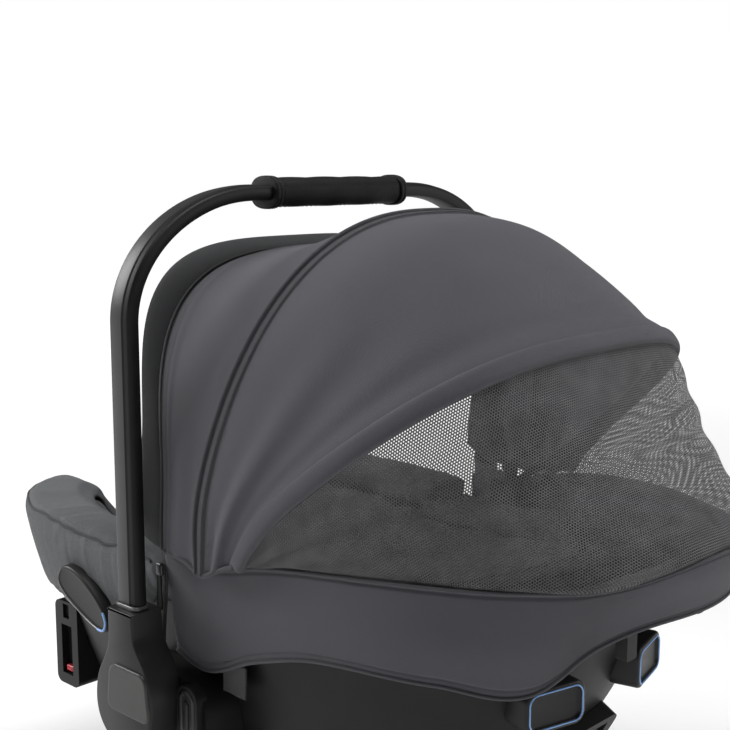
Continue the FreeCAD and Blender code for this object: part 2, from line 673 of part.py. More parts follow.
def hoopCurve(points):
    curve = Part.BSplineCurve()
    curve.interpolate(Points=points, Parameters=[float(step) for step in range(len(points))])
    return curve.toShape()


# A strip of rectangular section carried along a hoop, then leaned to the bow's angle.
def hoopStrip(angle, halfWidth, rise, squareness, start, wide, thick):
    path = hoopCurve(hoopPoints(halfWidth - thick / 2, rise - thick / 2, squareness, start))
    foot = path.Vertexes[0].Point
    tangent = path.tangentAt(path.FirstParameter)
    outward = Vector(tangent.z, 0, -tangent.x)
    corners = []
    for signOut, signWide in ((-1, -1), (1, -1), (1, 1), (-1, 1)):
        corners.append(foot + outward * (signOut * thick / 2) + Vector(0, signWide * wide / 2, 0))
    section = Part.makePolygon(corners + corners[:1])
    strip = Part.Wire([path]).makePipeShell([section], True, False)
    strip.Placement = bowPlacement(angle)
    return strip


# A wedge about a bow's plane, so that bands narrow towards the pivot.
def wedge(angle, spread):
    side = farAway * math.tan(math.radians(spread))
    outline = [Vector(-farAway, 0, 0), Vector(-farAway, side, farAway), Vector(-farAway, -side, farAway)]
    solid = Part.Face(Part.makePolygon(outline + outline[:1])).extrude(Vector(2 * farAway, 0, 0))
    solid.Placement = bowPlacement(angle)
    return solid


# The room that a band takes out of the panels beside it.
def bandRoom(angle, wide, spread):
    room = Part.makeBox(2 * farAway, wide, farAway, Vector(-farAway, -wide / 2, 0))
    room.Placement = bowPlacement(angle)
    return room.common(wedge(angle, spread))


# A fabric panel: thin closed sections fanned about the pivot and lofted.
def panel(sections, start, thick):
    wires = []
    for angle, halfWidth, rise, squareness in sections:
        outer = hoopPoints(halfWidth, rise, squareness, start)
        inner = hoopPoints(halfWidth - thick, rise - thick, squareness, start)
        edges = [hoopCurve(outer), Part.LineSegment(outer[-1], inner[-1]).toShape(),
                 hoopCurve(inner[::-1]), Part.LineSegment(inner[0], outer[0]).toShape()]
        wire = Part.Wire(edges)
        wire.Placement = bowPlacement(angle)
        wires.append(wire)
    return Part.makeLoft(wires, True, False, False, loftDegree)


# A hoop is its angle, half width, rise and squareness.
def between(first, second, share, swell=0):
    mixed = [a + (b - a) * share for a, b in zip(first, second)]
    return (mixed[0], mixed[1], mixed[2] + swell, mixed[3])


def namedHoop(name, squareness):
    return (value(f"{name}_angle"), value(f"{name}_width"), value(f"{name}_rise"), squareness)


brimHoop = namedHoop("brim", 3.6)
frontHoop = namedHoop("front", 3.1)
middleHoop = namedHoop("middle", 2.55)
rearHoop = namedHoop("rear", 3.0)
meshFoot = (value("mesh_end_angle") - 5, value("mesh_width") + 1, value("mesh_rise"), 2.2)
meshEnd = (value("mesh_end_angle"), value("mesh_width"), value("mesh_rise"), 2.2)
cloth = value("canopy_thickness")
bandStart = 24.0
bandSpread = 4.0
bandGap = value("band_gap")
middleRoom = bandRoom(middleHoop[0], value("binding_band") + 2 * bandGap, bandSpread + 0.5)
rearRoom = bandRoom(rearHoop[0], value("hem_band") + 2 * bandGap, bandSpread + 0.5)
# The line where the mesh meets the skirt: shares of the skirt's reach and rises above its top.
skirtTopLine = ((0.2513, 0), (0.3175, 12), (0.4762, 24), (0.6111, 27), (0.7937, 28), (0.9286, 32),
                (1.0185, 48))
openAbove = sideRegion(sideLine(skirtTopLine, value("skirt_reach"), value("skirt_top")), farAway)

# The brim turns up from the front panel's edge; the panel dips a little between its hoops.
brim = panel([brimHoop, between(brimHoop, frontHoop, 0.5), frontHoop], bandStart, value("brim_thickness"))
keep(feature("front_rim", brim), "front_rim")
panelEdge = (frontHoop[0] + value("brim_gap"), *frontHoop[1:])
frontPanel = panel([panelEdge, between(panelEdge, middleHoop, 0.5, -15), middleHoop], bandStart, cloth)
keep(feature("front_panel", frontPanel.cut(middleRoom)), "front_panel")
mainPanel = panel([middleHoop] + [between(middleHoop, rearHoop, share, swell)
                                  for share, swell in ((0.22, 3), (0.5, -3), (0.8, -7), (1.0, -5))],
                  bandStart, cloth)
keep(feature("main_panel", mainPanel.cut(middleRoom).cut(rearRoom)), "main_panel")
# The mesh is pulled taut between the rear hem and the skirt, so it lies inside their arc.
meshWindow = panel([between(rearHoop, meshFoot, 0, -3), between(rearHoop, meshFoot, 0.38, -20),
                    between(rearHoop, meshFoot, 0.72, -18), meshFoot, meshEnd], bandStart, cloth)
keep(feature("mesh_window", meshWindow.cut(rearRoom).common(openAbove)), "mesh_window")


def fabricBand(name, hoop, wide, thick, proud):
    angle, halfWidth, rise, squareness = hoop
    strip = hoopStrip(angle, halfWidth + proud, rise + proud, squareness, bandStart, wide, thick)
    keep(feature(name, strip.common(wedge(angle, bandSpread))), name)


fabricBand("middle_binding", middleHoop, value("binding_band"), value("binding_thickness"), 1)
fabricBand("rear_hem", rearHoop, value("hem_band"), value("hem_thickness"), 2)


# A bow: a springy strip inside the fabric, with an arm and a pivot ear at each end.
def bow(name, order, sizes, lowered):
    angle, halfWidth, rise, squareness = sizes
    thick = value("bow_thickness")
    start = value("bow_start")
    strip = hoopStrip(angle, halfWidth - lowered, rise - lowered, squareness, start,
                      value("bow_width"), thick)
    innerFace = value("ear_inner_face") + order * value("ear_pitch")
    earThickness = value("ear_thickness")
    solid = strip
    foot = hoopPoints(halfWidth - lowered - thick / 2, rise - lowered - thick / 2, squareness, start)[0]
    for hand in (-1, 1):
        side = innerFace if hand > 0 else -innerFace - earThickness
        ear = Part.makeCylinder(value("ear_radius"), earThickness, Vector(side, 0, 0), Vector(1, 0, 0))
        arm = Part.makeBox(earThickness, value("bow_width"), start + 6,
                           Vector(side, -value("bow_width") / 2, 0))
        reach = foot.x + thick / 2 - innerFace
        low = innerFace if hand > 0 else -innerFace - reach
        bridge = Part.makeBox(reach, value("bow_width"), 7, Vector(low, -value("bow_width") / 2, start - 1))
        end = ear.fuse(arm).fuse(bridge)
        hole = Part.makeCylinder(value("canopy_pin_radius") + value("pin_gap"), 2 * farAway,
                                 Vector(-farAway, 0, 0), Vector(1, 0, 0))
        end = end.cut(hole)
        end.Placement = bowPlacement(angle)
        solid = solid.fuse(end)
    keep(feature(name, solid.removeSplitter()), name)


bow("rear_bow", 0, rearHoop, value("hem_thickness"))
bow("middle_bow", 1, middleHoop, value("binding_thickness"))
bow("front_bow", 2, between(brimHoop, frontHoop, 0.5), value("brim_thickness") + value("bow_drop"))


def canopyBracket(name, hand):
    inner = "(ear_inner_face - bracket_gap - bracket_thickness)"
    outer = "(ear_inner_face - bracket_gap)"
    foot = "(rim_height + bracket_seat)"
    pinLength = "(ear_pitch * 3 + 1)"
    axis = ("canopy_pivot_shift", "canopy_pivot_height")
    upright = block(f"bracket_upright_{name}",
                    ("bracket_thickness", "bracket_width", f"canopy_pivot_height + ear_radius - {foot}"),
                    (f"{hand} * ({inner} + bracket_thickness / 2)", "canopy_pivot_shift",
                     f"(canopy_pivot_height + ear_radius + {foot}) / 2"), corner="5")
    flange = block(f"bracket_flange_{name}", ("flange_reach", "bracket_width + 16", "flange_thickness"),
                   (f"{hand} * ({outer} - flange_reach / 2)", "canopy_pivot_shift",
                    f"{foot} + flange_thickness / 2"), corner="4", along="z")
    pin = cylinder(f"bracket_pin_{name}", "canopy_pin_radius", pinLength,
                   (f"{hand} * {outer} + ({hand} - 1) / 2 * {pinLength}", *axis), "x")
    cap = cylinder(f"bracket_cap_{name}", "ear_radius - 1", "cap_thickness",
                   (f"{hand} * ({outer} + {pinLength}) + ({hand} - 1) / 2 * cap_thickness", *axis), "x")
    keep(fuse(f"canopy_bracket_{name}", upright, flange, pin, cap), f"canopy_bracket_{name}")


for name, hand in (("left", 1), ("right", -1)):
    canopyBracket(name, hand)

# Skirt, zip, tag, hook

skirt = skirtLoft(0).cut(skirtLoft(value("skirt_wall")))
skirt = skirt.cut(slab((-farAway, -farAway, -farAway), (farAway, value("skirt_front"), farAway)))
skirtHemLine = ((0.1085, 0), (0.2646, 22), (0.3968, 37), (0.6481, 37), (0.7857, 34), (0.8730, 68),
                (0.9312, 81))
openBelow = sideRegion(sideLine(skirtHemLine, value("skirt_reach"), value("skirt_hem")), -farAway)
skirtTop = openAbove.copy()
skirtTop.translate(Vector(0, 0, -gap))
skirt = skirt.cut(openBelow).cut(skirtTop)
skirtRaw = feature("skirt_raw", skirt)
housingRoom = boxTool("housing_room", ("3 * hub_inner_face", "housing_width + 1", "housing_height + 1"),
                      ("0", "housing_shift", "pivot_height - housing_drop"))
keep(cut("canopy_skirt", skirtRaw, housingRoom), "canopy_skirt")


def zipSide(name, hand):
    outside = "(skirt_half_width - zip_inset + zip_gap)"
    zipY = "skirt_front - zip_gap - zip_width / 2"
    keep(block(f"zip_{name}", ("zip_thickness", "zip_width", "zip_top - zip_bottom"),
               (f"{hand} * (skirt_half_width - zip_inset - zip_thickness / 2)", zipY,
                "(zip_top + zip_bottom) / 2"), soften="0.5"), f"zip_{name}")
    slider = block(f"slider_{name}", ("3", "zip_width + 2", "9"),
                   (f"{hand} * ({outside} + 1.5)", zipY, "zip_top - 5"), corner="1.5")
    pull = block(f"pull_{name}", ("1.6", "zip_width", "puller_length"),
                 (f"{hand} * ({outside} + 2)", zipY, "zip_top - 8 - puller_length / 2"), corner="2")
    keep(fuse(f"zip_puller_{name}", slider, pull), f"zip_puller_{name}")


for name, hand in (("left", 1), ("right", -1)):
    zipSide(name, hand)

# The tag hangs inside the skirt, whose wall lies this share of its half width out at that height.
tagSide = 0.944
keep(block("skirt_tag", ("1.2", "tag_width", "tag_height"),
           (f"skirt_half_width * {tagSide} - skirt_wall + 0.3", "tag_shift", "tag_level - tag_height / 2"),
           soften="0.3"), "skirt_tag")
keep(block("skirt_hook", ("hook_width", "hook_depth", "hook_height"),
           ("hook_shift", "skirt_reach - hook_inset", "hook_level - hook_height / 2"), corner="2", along="y"),
     "skirt_hook")

# Release lever at the back

# The shell's back face on the middle plane, and how far it leans there.
def shellBack(height):
    share = height / value("seat_height")
    for low, high in zip(shellLaw, shellLaw[1:]):
        if share <= high[0]:
            slope = (high[3] - low[3]) * value("head_reach") / ((high[0] - low[0]) * value("seat_height"))
            place = low[3] * value("head_reach") + (share - low[0]) * value("seat_height") * slope
            return place, math.degrees(math.atan(slope))
    return value("head_reach"), 0.0


releaseBack, releaseLean = shellBack(value("release_level"))
releaseTurn = Rotation(Vector(1, 0, 0), -releaseLean)


# A centre that lies a distance out of the shell's back face and a distance up along it.
def releasePlace(outward, upward):
    place = releaseTurn.multVec(Vector(0, outward, upward))
    return ("0", f"{releaseBack + place.y:.4f}", f"release_level + {place.z:.4f}")


lip = value("release_lip")
releaseBlock = block("release_block", ("release_width", "release_depth", "release_height"),
                     releasePlace(lip - value("release_depth") / 2, 0), corner="10", along="y",
                     turn=releaseTurn)
leverRoom = boxTool("lever_room", ("lever_width + 2 * lever_gap", "release_depth",
                                   "lever_height + lever_travel + 2 * lever_gap"),
                    releasePlace(0, value("lever_travel") / 2), turn=releaseTurn)
keep(cut("release_housing", releaseBlock, shellClear, leverRoom), "release_housing")
keep(block("release_lever", ("lever_width", "lever_thickness", "lever_height"),
           releasePlace(lip - value("lever_sink") - value("lever_thickness") / 2, 0),
           corner="6", along="y", soften="1.5", turn=releaseTurn), "release_lever")

# Harness


# Where the pad's inner face lies at a height, on the middle plane.
def padFace(height, side):
    depth = value("seat_height") - floorLevel
    shares = bowlSize((height - floorLevel) / depth)
    if side > 0:
        return shares[2] * value("bowl_head_reach") - padThickness
    return -(shares[1] * value("bowl_foot_reach") - padThickness)


# Points (y, z) moved a distance to the left of the way they run.
def besidePath(points, distance):
    moved = []
    for index, (y, z) in enumerate(points):
        before = points[max(index - 1, 0)]
        after = points[min(index + 1, len(points) - 1)]
        length = math.hypot(after[0] - before[0], after[1] - before[1])
        moved.append((y - (after[1] - before[1]) / length * distance,
                      z + (after[0] - before[0]) / length * distance))
    return moved


# A strip along points (y, z), thick to its left, extruded across the seat.
def ribbon(points, thickness, low, high):
    near = [Vector(low, y, z) for y, z in points]
    far = [Vector(low, y, z) for y, z in besidePath(points, thickness)]
    curves = []
    for row in (near, far):
        curve = Part.BSplineCurve()
        curve.interpolate(row)
        curves.append(curve.toShape())
    edges = [curves[0], Part.LineSegment(near[-1], far[-1]).toShape(), curves[1],
             Part.LineSegment(far[0], near[0]).toShape()]
    return Part.Face(Part.Wire(Part.__sortEdges__(edges))).extrude(Vector(high - low, 0, 0))


strapClear = value("strap_clearance")
strapTop = value("strap_top")
strapThickness = value("strap_thickness")
strapInner = value("strap_inner")
strapOuter = strapInner + value("strap_width")
buckleY = value("buckle_shift")
buckleTop = value("buckle_level") + value("buckle_height") / 2
tongueTop = buckleTop + value("tongue_height")
backStep = 18.0
backGap = strapClear + 3
seatLevel = floorLevel + padThickness + strapClear + 2
# Down the back, over the seat and up to the tongues.
backPath = [(padFace(strapTop - backStep * step, 1) - backGap, strapTop - backStep * step) for step in range(4)]
strapPath = backPath + [(padFace(seatLevel + 34, 1) - 18, seatLevel + 28), (48, seatLevel + 6),
                        (10, seatLevel + 22), (buckleY * 0.8, tongueTop - 14), (buckleY, tongueTop + 2.4)]
for name, hand in (("left", 1), ("right", -1)):
    low = strapInner if hand > 0 else -strapOuter
    strap = ribbon(strapPath, -strapThickness, low, low + value("strap_width"))
    keep(feature(f"shoulder_strap_{name}", strap), f"shoulder_strap_{name}")
    padPath = besidePath(backPath, -strapThickness - 1)
    chest = ribbon(padPath, -value("chest_pad_thickness"), low - 3, low + value("strap_width") + 3)
    keep(feature(f"chest_pad_{name}", chest), f"chest_pad_{name}")

tongues = []
hips = []
tongueLevel = "buckle_level + buckle_height / 2 + tongue_height / 2"
for name, hand in (("left", 1), ("right", -1)):
    tongues.append(block(f"tongue_{name}", ("strap_width - 4", "tongue_thickness", "tongue_height"),
                         (f"{hand} * (strap_width / 2 + 1)", "buckle_shift", tongueLevel),
                         corner="3", along="y"))
    hips.append(block(f"hip_strap_{name}", ("hip_strap_length", "strap_width", "strap_thickness"),
                      (f"{hand} * (strap_inner + strap_width + 0.4 + hip_strap_length / 2)",
                       "hip_strap_shift", "bowl_floor + pad_thickness + 20"), corner="0.8", along="y"))
keep(fuse("buckle_tongues", *tongues), "buckle_tongues")
hipStraps = fuse("hip_straps_raw", *hips)
keep(common("hip_straps", hipStraps, padClear), "hip_straps")

buckleBlock = block("buckle_block", ("buckle_width", "buckle_depth", "buckle_height - 0.3"),
                    ("0", "buckle_shift", "buckle_level"), corner="8", along="y")
buttonLevel = "buckle_level - buckle_button_drop"
buttonSide = "buckle_button_size"
buttonDepth = "(buckle_button_bury + buckle_button_proud - 0.4)"
buttonRoom = boxTool("buckle_button_room",
                     (f"{buttonSide} + 0.6", "2 * (buckle_travel + buckle_button_bury)", f"{buttonSide} + 0.6"),
                     ("0", "buckle_shift - buckle_depth / 2", buttonLevel))
keep(cut("buckle_housing", buckleBlock, buttonRoom), "buckle_housing")
keep(block("buckle_button", (buttonSide, buttonDepth, buttonSide),
           ("0", f"buckle_shift - buckle_depth / 2 - buckle_button_proud + {buttonDepth} / 2", buttonLevel),
           corner="3", along="y"), "buckle_button")
crotchTop = "buckle_level - buckle_height / 2"
crotch = block("crotch_raw", ("strap_width + 4", "strap_thickness * 1.5", f"{crotchTop} - bowl_floor"),
               ("0", "buckle_shift", f"({crotchTop} + bowl_floor) / 2 - 0.3"))
keep(common("crotch_strap", crotch, padClear), "crotch_strap")

adjusterBlock = block("adjuster_block", ("adjuster_width", "adjuster_length", "adjuster_height"),
                      ("0", "adjuster_shift", "adjuster_level"), corner="6", along="z", soften="3")
adjusterRoom = boxTool("adjuster_room", ("adjuster_button_width + 0.6", "adjuster_button_width + 0.6",
                                         "2 * (adjuster_travel + 3)"),
                       ("0", "adjuster_shift", "adjuster_level + adjuster_height / 2"))
adjusterRaw = cut("adjuster_raw", adjusterBlock, adjusterRoom)
keep(common("adjuster_housing", adjusterRaw, padClear), "adjuster_housing")
keep(block("adjuster_button", ("adjuster_button_width", "adjuster_button_width", "4"),
           ("0", "adjuster_shift", "adjuster_level + adjuster_height / 2 - 0.5"), corner="3", along="z",
           soften="0.8"), "adjuster_button")
levelStart = value("adjuster_level") + value("adjuster_height") / 2 - 6
pullPath = []
for step in range(5):
    height = levelStart + 4 + 19 * step
    pullPath.append((padFace(height, -1) + 0.9, height))
adjusterPull = ribbon(pullPath, -strapThickness, -13, 13)
keep(feature("adjuster_strap", adjusterPull), "adjuster_strap")

# Head pillow

pillowTurn = Rotation(Vector(1, 0, 0), -value("pillow_tilt"))
pillowCentre = ("0", "pillow_shift", "pillow_level")
pillowBlock = block("pillow_block", ("pillow_width", "pillow_depth", "pillow_length"), pillowCentre,
                    corner="22", along="z", turn=pillowTurn)
pillowInside = block("pillow_inside",
                     ("pillow_width - 2 * pillow_wall", "pillow_depth", "pillow_length + 20"),
                     ("0", "pillow_shift - pillow_back * cos(pillow_tilt)",
                      "pillow_level + pillow_back * sin(pillow_tilt)"), corner="20", along="z", turn=pillowTurn)
pillowRaw = cut("pillow_raw", pillowBlock, pillowInside)
keep(common("head_pillow", pillowRaw, padClear), "head_pillow")

# Checks and files

document.recompute()
for item in document.Objects:
    faults = [state for state in item.State if state in ("Invalid", "Error")]
    if faults:
        raise RuntimeError(f"{item.Label} did not build: {item.State}")
for item in subParts:
    if item.Shape.isNull() or not item.Shape.isValid() or not item.Shape.Solids:
        raise RuntimeError(f"{item.Label} has no valid solid")
labels = [item.Label for item in subParts]
if len(set(labels)) != len(labels):
    raise RuntimeError("two sub-parts share a label")
os.makedirs("parts", exist_ok=True)
for item in subParts:
    item.Shape.exportStep(os.path.join("parts", item.Label + ".step"))
    print(item.Label, len(item.Shape.Solids), round(item.Shape.Volume))
print(len(subParts), "sub-parts written")
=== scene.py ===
import bpy
import json
import math
import numpy as np
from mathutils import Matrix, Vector


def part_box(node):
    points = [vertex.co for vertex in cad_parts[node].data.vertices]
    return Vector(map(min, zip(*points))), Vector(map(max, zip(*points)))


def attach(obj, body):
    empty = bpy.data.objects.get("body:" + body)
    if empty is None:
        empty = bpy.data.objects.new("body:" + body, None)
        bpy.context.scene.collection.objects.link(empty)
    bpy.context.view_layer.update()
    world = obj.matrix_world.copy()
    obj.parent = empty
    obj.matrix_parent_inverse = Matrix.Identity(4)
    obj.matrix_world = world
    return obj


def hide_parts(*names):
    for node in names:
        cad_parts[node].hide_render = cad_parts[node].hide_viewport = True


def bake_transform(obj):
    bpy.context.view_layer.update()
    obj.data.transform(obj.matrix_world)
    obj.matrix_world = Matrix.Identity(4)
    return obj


# Infant car seat, metres: +Z up, foot end towards -Y, head end towards +Y, left is +X.

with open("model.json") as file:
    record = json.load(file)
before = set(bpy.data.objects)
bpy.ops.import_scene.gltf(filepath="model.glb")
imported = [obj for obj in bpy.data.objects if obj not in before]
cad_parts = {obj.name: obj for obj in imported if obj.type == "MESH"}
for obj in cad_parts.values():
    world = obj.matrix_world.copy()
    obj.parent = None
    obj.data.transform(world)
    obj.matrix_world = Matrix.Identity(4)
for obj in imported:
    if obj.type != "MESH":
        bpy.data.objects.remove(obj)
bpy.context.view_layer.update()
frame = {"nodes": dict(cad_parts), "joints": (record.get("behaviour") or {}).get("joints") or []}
print("frame loaded")

pivot = np.array(next(j for j in frame["joints"] if j["name"] == "canopy_rear_fold")["pos_m"], float)


# camera and light

viewSetup = {"azimuth": 133.6, "down": 8.95, "place": (0.760, 0.762, 0.591), "lens": 62.38, "sensor": 36,
             "reach": 60}
# each lamp has a place, a size and a power
lightSetup = {"skyLight": 0.10, "skySeen": 1.0, "aim": (0, 0.05, 0.3),
              "lamps": {"key": ((1.0, -1.7, 1.4), 1.2, 38), "top": ((-0.1, 0.3, 2.2), 1.4, 29),
                        "rear": ((-1.5, 1.7, 1.1), 1.2, 14)}}


# the camera looks along a heading, tilted down from the level
def addCamera(setup):
    turn, down = math.radians(setup["azimuth"]), math.radians(setup["down"])
    forward = Vector((-math.sin(turn) * math.cos(down), math.cos(turn) * math.cos(down), -math.sin(down)))
    camera = bpy.data.objects.new("camera", bpy.data.cameras.new("camera"))
    bpy.context.scene.collection.objects.link(camera)
    camera.location = setup["place"]
    camera.rotation_euler = forward.to_track_quat("-Z", "Y").to_euler()
    camera.data.lens = setup["lens"]
    camera.data.sensor_width = setup["sensor"]
    camera.data.clip_end = setup["reach"]
    bpy.context.scene.camera = camera


# a round lamp at its place, turned towards the aim
def addSoftLight(name, aim, place, size, power):
    lamp = bpy.data.lights.new(name, "AREA")
    lamp.shape = "DISK"
    lamp.size = size
    lamp.energy = power
    item = bpy.data.objects.new(name, lamp)
    bpy.context.scene.collection.objects.link(item)
    item.location = place
    item.rotation_euler = (Vector(aim) - Vector(place)).to_track_quat("-Z", "Y").to_euler()


# a sky that is seen brighter than it lights the part, and the soft lamps
def addStudio(setup):
    world = bpy.data.worlds.new("studio")
    bpy.context.scene.world = world
    world.use_nodes = True
    tree = world.node_tree
    back = tree.nodes["Background"]
    back.inputs["Color"].default_value = (1, 1, 1, 1)
    path = tree.nodes.new("ShaderNodeLightPath")
    strength = tree.nodes.new("ShaderNodeMapRange")
    strength.inputs["To Min"].default_value = setup["skyLight"]
    strength.inputs["To Max"].default_value = setup["skySeen"]
    tree.links.new(path.outputs["Is Camera Ray"], strength.inputs["Value"])
    tree.links.new(strength.outputs["Result"], back.inputs["Strength"])
    for name, lamp in setup["lamps"].items():
        addSoftLight(name + "_light", setup["aim"], *lamp)
    bpy.context.scene.view_settings.view_transform = "Standard"


addCamera(viewSetup)
addStudio(lightSetup)
print("camera and light placed")


# numbers: curves through points, signed powers, smooth steps

# a power that keeps its number's sign
def power(a, p):
    return np.sign(a) * np.abs(a) ** p


# a cubic through the given points, with centred slopes
def curveThrough(x, xs, ys):
    xs, ys = np.asarray(xs, float), np.asarray(ys, float)
    slopes = np.gradient(ys, xs)
    x = np.clip(x, xs[0], xs[-1])
    i = np.clip(np.searchsorted(xs, x, side="right") - 1, 0, len(xs) - 2)
    span = xs[i + 1] - xs[i]
    t = (x - xs[i]) / span
    rise = t * t * (3 - 2 * t)
    return (ys[i] * (1 - rise) + ys[i + 1] * rise + span * slopes[i] * t * (1 - t) ** 2
            - span * slopes[i + 1] * t * t * (1 - t))


# 0 up to low, 1 from high on, and a smooth step between them
def softStep(x, low, high):
    t = np.clip((x - low) / (high - low), 0, 1)
    return t * t * (3 - 2 * t)


# 1 at the centre, fading to 0 on both sides
def bump(x, centre, width):
    return np.exp(-((x - centre) / width) ** 2)


# distance walked along one direction of a grid of points
def runLength(points, axis):
    steps = np.linalg.norm(np.diff(points, axis=axis), axis=-1)
    start = np.zeros_like(np.take(steps, [0], axis=axis))
    return np.concatenate([start, np.cumsum(steps, axis=axis)], axis=axis)


# vectors scaled to length 1
def unit(v):
    return v / np.maximum(np.linalg.norm(v, axis=-1, keepdims=True), 1e-12)


# the same curve with its points spread evenly along it
def spaced(points, count):
    run = runLength(points, 0)
    even = np.linspace(0, run[-1], count)
    return np.stack([np.interp(even, run, points[:, k]) for k in range(3)], -1)


# normals of a grid of points: the cross product of its two directions
def gridNormals(points):
    return unit(np.cross(np.gradient(points, axis=0), np.gradient(points, axis=1)))


# meshes from arrays

# an object of vertices and faces, with a map in metres for cloth
def newPiece(name, vertices, faces, uv=None):
    mesh = bpy.data.meshes.new(name)
    mesh.from_pydata(np.asarray(vertices, float).reshape(-1, 3).tolist(), [], faces)
    if uv is not None:
        corner = np.zeros(len(mesh.loops), np.int32)
        mesh.loops.foreach_get("vertex_index", corner)
        layer = mesh.uv_layers.new(name="cloth")
        layer.data.foreach_set("uv", np.asarray(uv, np.float32).reshape(-1, 2)[corner].ravel())
    mesh.shade_smooth()
    mesh.update()
    item = bpy.data.objects.new(name, mesh)
    bpy.context.scene.collection.objects.link(item)
    return item


# quads between neighbours of a grid of points; wrap joins its last column to its first, and caps close its
# first and last rows
def gridFaces(rows, columns, wrap=False, caps=False):
    index = np.arange(rows * columns).reshape(rows, columns)
    right = np.roll(index, -1, axis=1) if wrap else index[:, 1:]
    left = index if wrap else index[:, :-1]
    quads = np.stack([left[:-1], left[1:], right[1:], right[:-1]], -1).reshape(-1, 4).tolist()
    return quads + [index[0].tolist(), index[-1, ::-1].tolist()] if caps else quads


# a grid of points as a mesh, mapped by the distance along its rows and columns
def gridPiece(name, points, wrap=False, caps=False):
    rows, columns = points.shape[:2]
    along = runLength(points, 1)
    uv = np.stack([along - along[:, columns // 2][:, None], runLength(points, 0)], -1)
    return newPiece(name, points, gridFaces(rows, columns, wrap, caps), uv)


# a profile of (side, out) points carried along a path: side is the given direction squared to the path, and
# out is square to both
def carried(path, profile, side, scale=1.0):
    tangent = unit(np.gradient(path, axis=0))
    side = unit(np.broadcast_to(np.asarray(side, float), path.shape)
                - tangent * np.sum(tangent * side, -1, keepdims=True))
    out = np.cross(side, tangent)
    scale = np.broadcast_to(scale, len(path))[:, None, None]
    profile = np.asarray(profile, float)
    return (path[:, None] + side[:, None] * profile[None, :, :1] * scale
            + out[:, None] * profile[None, :, 1:] * scale)


# an oval profile, boxier the more its squareness passes 2
def roundProfile(halfSide, halfOut, squareness=2.0, count=16):
    turn = np.linspace(0, 2 * np.pi, count, endpoint=False)
    return np.stack([halfSide * power(np.cos(turn), 2 / squareness),
                     halfOut * power(np.sin(turn), 2 / squareness)], -1)


# a mesh's vertices as rows of x, y and z
def vertexArray(mesh):
    spots = np.zeros(len(mesh.vertices) * 3, np.float32)
    mesh.vertices.foreach_get("co", spots)
    return spots.reshape(-1, 3).astype(float)


# faces turned outwards on a closed mesh: its volume, summed over its triangles, is made positive
def outward(item):
    mesh = item.data
    spots = vertexArray(mesh)
    mesh.calc_loop_triangles()
    triangles = np.zeros(len(mesh.loop_triangles) * 3, np.int32)
    mesh.loop_triangles.foreach_get("vertices", triangles)
    a, b, c = (spots[triangles.reshape(-1, 3)[:, k]] - spots.mean(0) for k in range(3))
    if np.sum(a * np.cross(b, c)) < 0:
        mesh.flip_normals()
    return item


# a profile carried along a path as a closed tube
def tubePiece(name, path, profile, side, scale=1.0):
    return outward(gridPiece(name, carried(path, profile, side, scale), wrap=True, caps=True))


# a modifier with its settings
def modified(item, kind, **settings):
    modifier = item.modifiers.new(kind.lower(), kind)
    for key, setting in settings.items():
        setattr(modifier, key, setting)
    return item


# small stitches: spindles laid along a path, all in one mesh
def stitchPiece(name, path, side, pitch, length, thick, lift):
    total = runLength(path, 0)[-1]
    count = int(total / pitch)
    even = spaced(path, count * 8 + 1)
    tangent = unit(np.gradient(even, axis=0))[4::8]
    centre = even[4::8]
    side = np.asarray(side, float)
    if side.ndim > 1:
        side = spaced(side, count * 8 + 1)[4::8]
    side = unit(side - tangent * np.sum(tangent * side, -1, keepdims=True))
    out = np.cross(side, tangent)
    centre = centre + out * lift
    ring = np.linspace(0, 2 * np.pi, 5, endpoint=False)
    along = np.array([-0.5, -0.3, 0.3, 0.5]) * length
    wide = np.array([0.35, 1.0, 1.0, 0.35]) * thick / 2
    spots = (centre[:, None, None] + tangent[:, None, None] * along[None, :, None, None]
             + (side[:, None, None] * np.cos(ring)[None, None, :, None]
                + out[:, None, None] * np.sin(ring)[None, None, :, None]) * wide[None, :, None, None])
    first = (np.arange(len(centre)) * 20)[:, None, None]  # a stitch is four rings of five vertices
    quads = (np.array(gridFaces(4, 5, wrap=True)) + first).reshape(-1, 4)
    lids = (np.array([[4, 3, 2, 1, 0], [15, 16, 17, 18, 19]]) + first).reshape(-1, 5)
    return newPiece(name, spots, quads.tolist() + lids.tolist())


# a closed plaque: one outline (across, up) repeated in layers of (inset, height), on a plane with two axes
def plaquePiece(name, outline, layers, place, across, up):
    outline = np.asarray(outline, float)
    across, up = np.asarray(across, float), np.asarray(up, float)
    rise = np.cross(across, up)
    along = unit(np.roll(outline, -1, 0) - np.roll(outline, 1, 0))
    inner = np.stack([-along[:, 1], along[:, 0]], -1)
    rings = []
    for inset, height in layers:
        flat = outline + inner * inset
        rings.append(np.asarray(place) + flat[:, :1] * across + flat[:, 1:] * up + rise * height)
    return outward(gridPiece(name, np.array(rings), wrap=True, caps=True))


# a rectangle with round corners, counter-clockwise
def roundedOutline(halfAcross, halfUp, radius, steps):
    turn = np.linspace(0, np.pi / 2, steps)
    corners = ((1, 1, 0), (-1, 1, 1), (-1, -1, 2), (1, -1, 3))
    parts = []
    for signAcross, signUp, quarter in corners:
        angle = turn + quarter * np.pi / 2
        parts.append(np.stack([signAcross * (halfAcross - radius) + radius * np.cos(angle),
                               signUp * (halfUp - radius) + radius * np.sin(angle)], -1))
    return np.concatenate(parts)


# edges that turn by more than an angle are drawn sharp
def sharpen(item, degrees):
    item.data.set_sharp_from_angle(angle=math.radians(degrees))
    return item


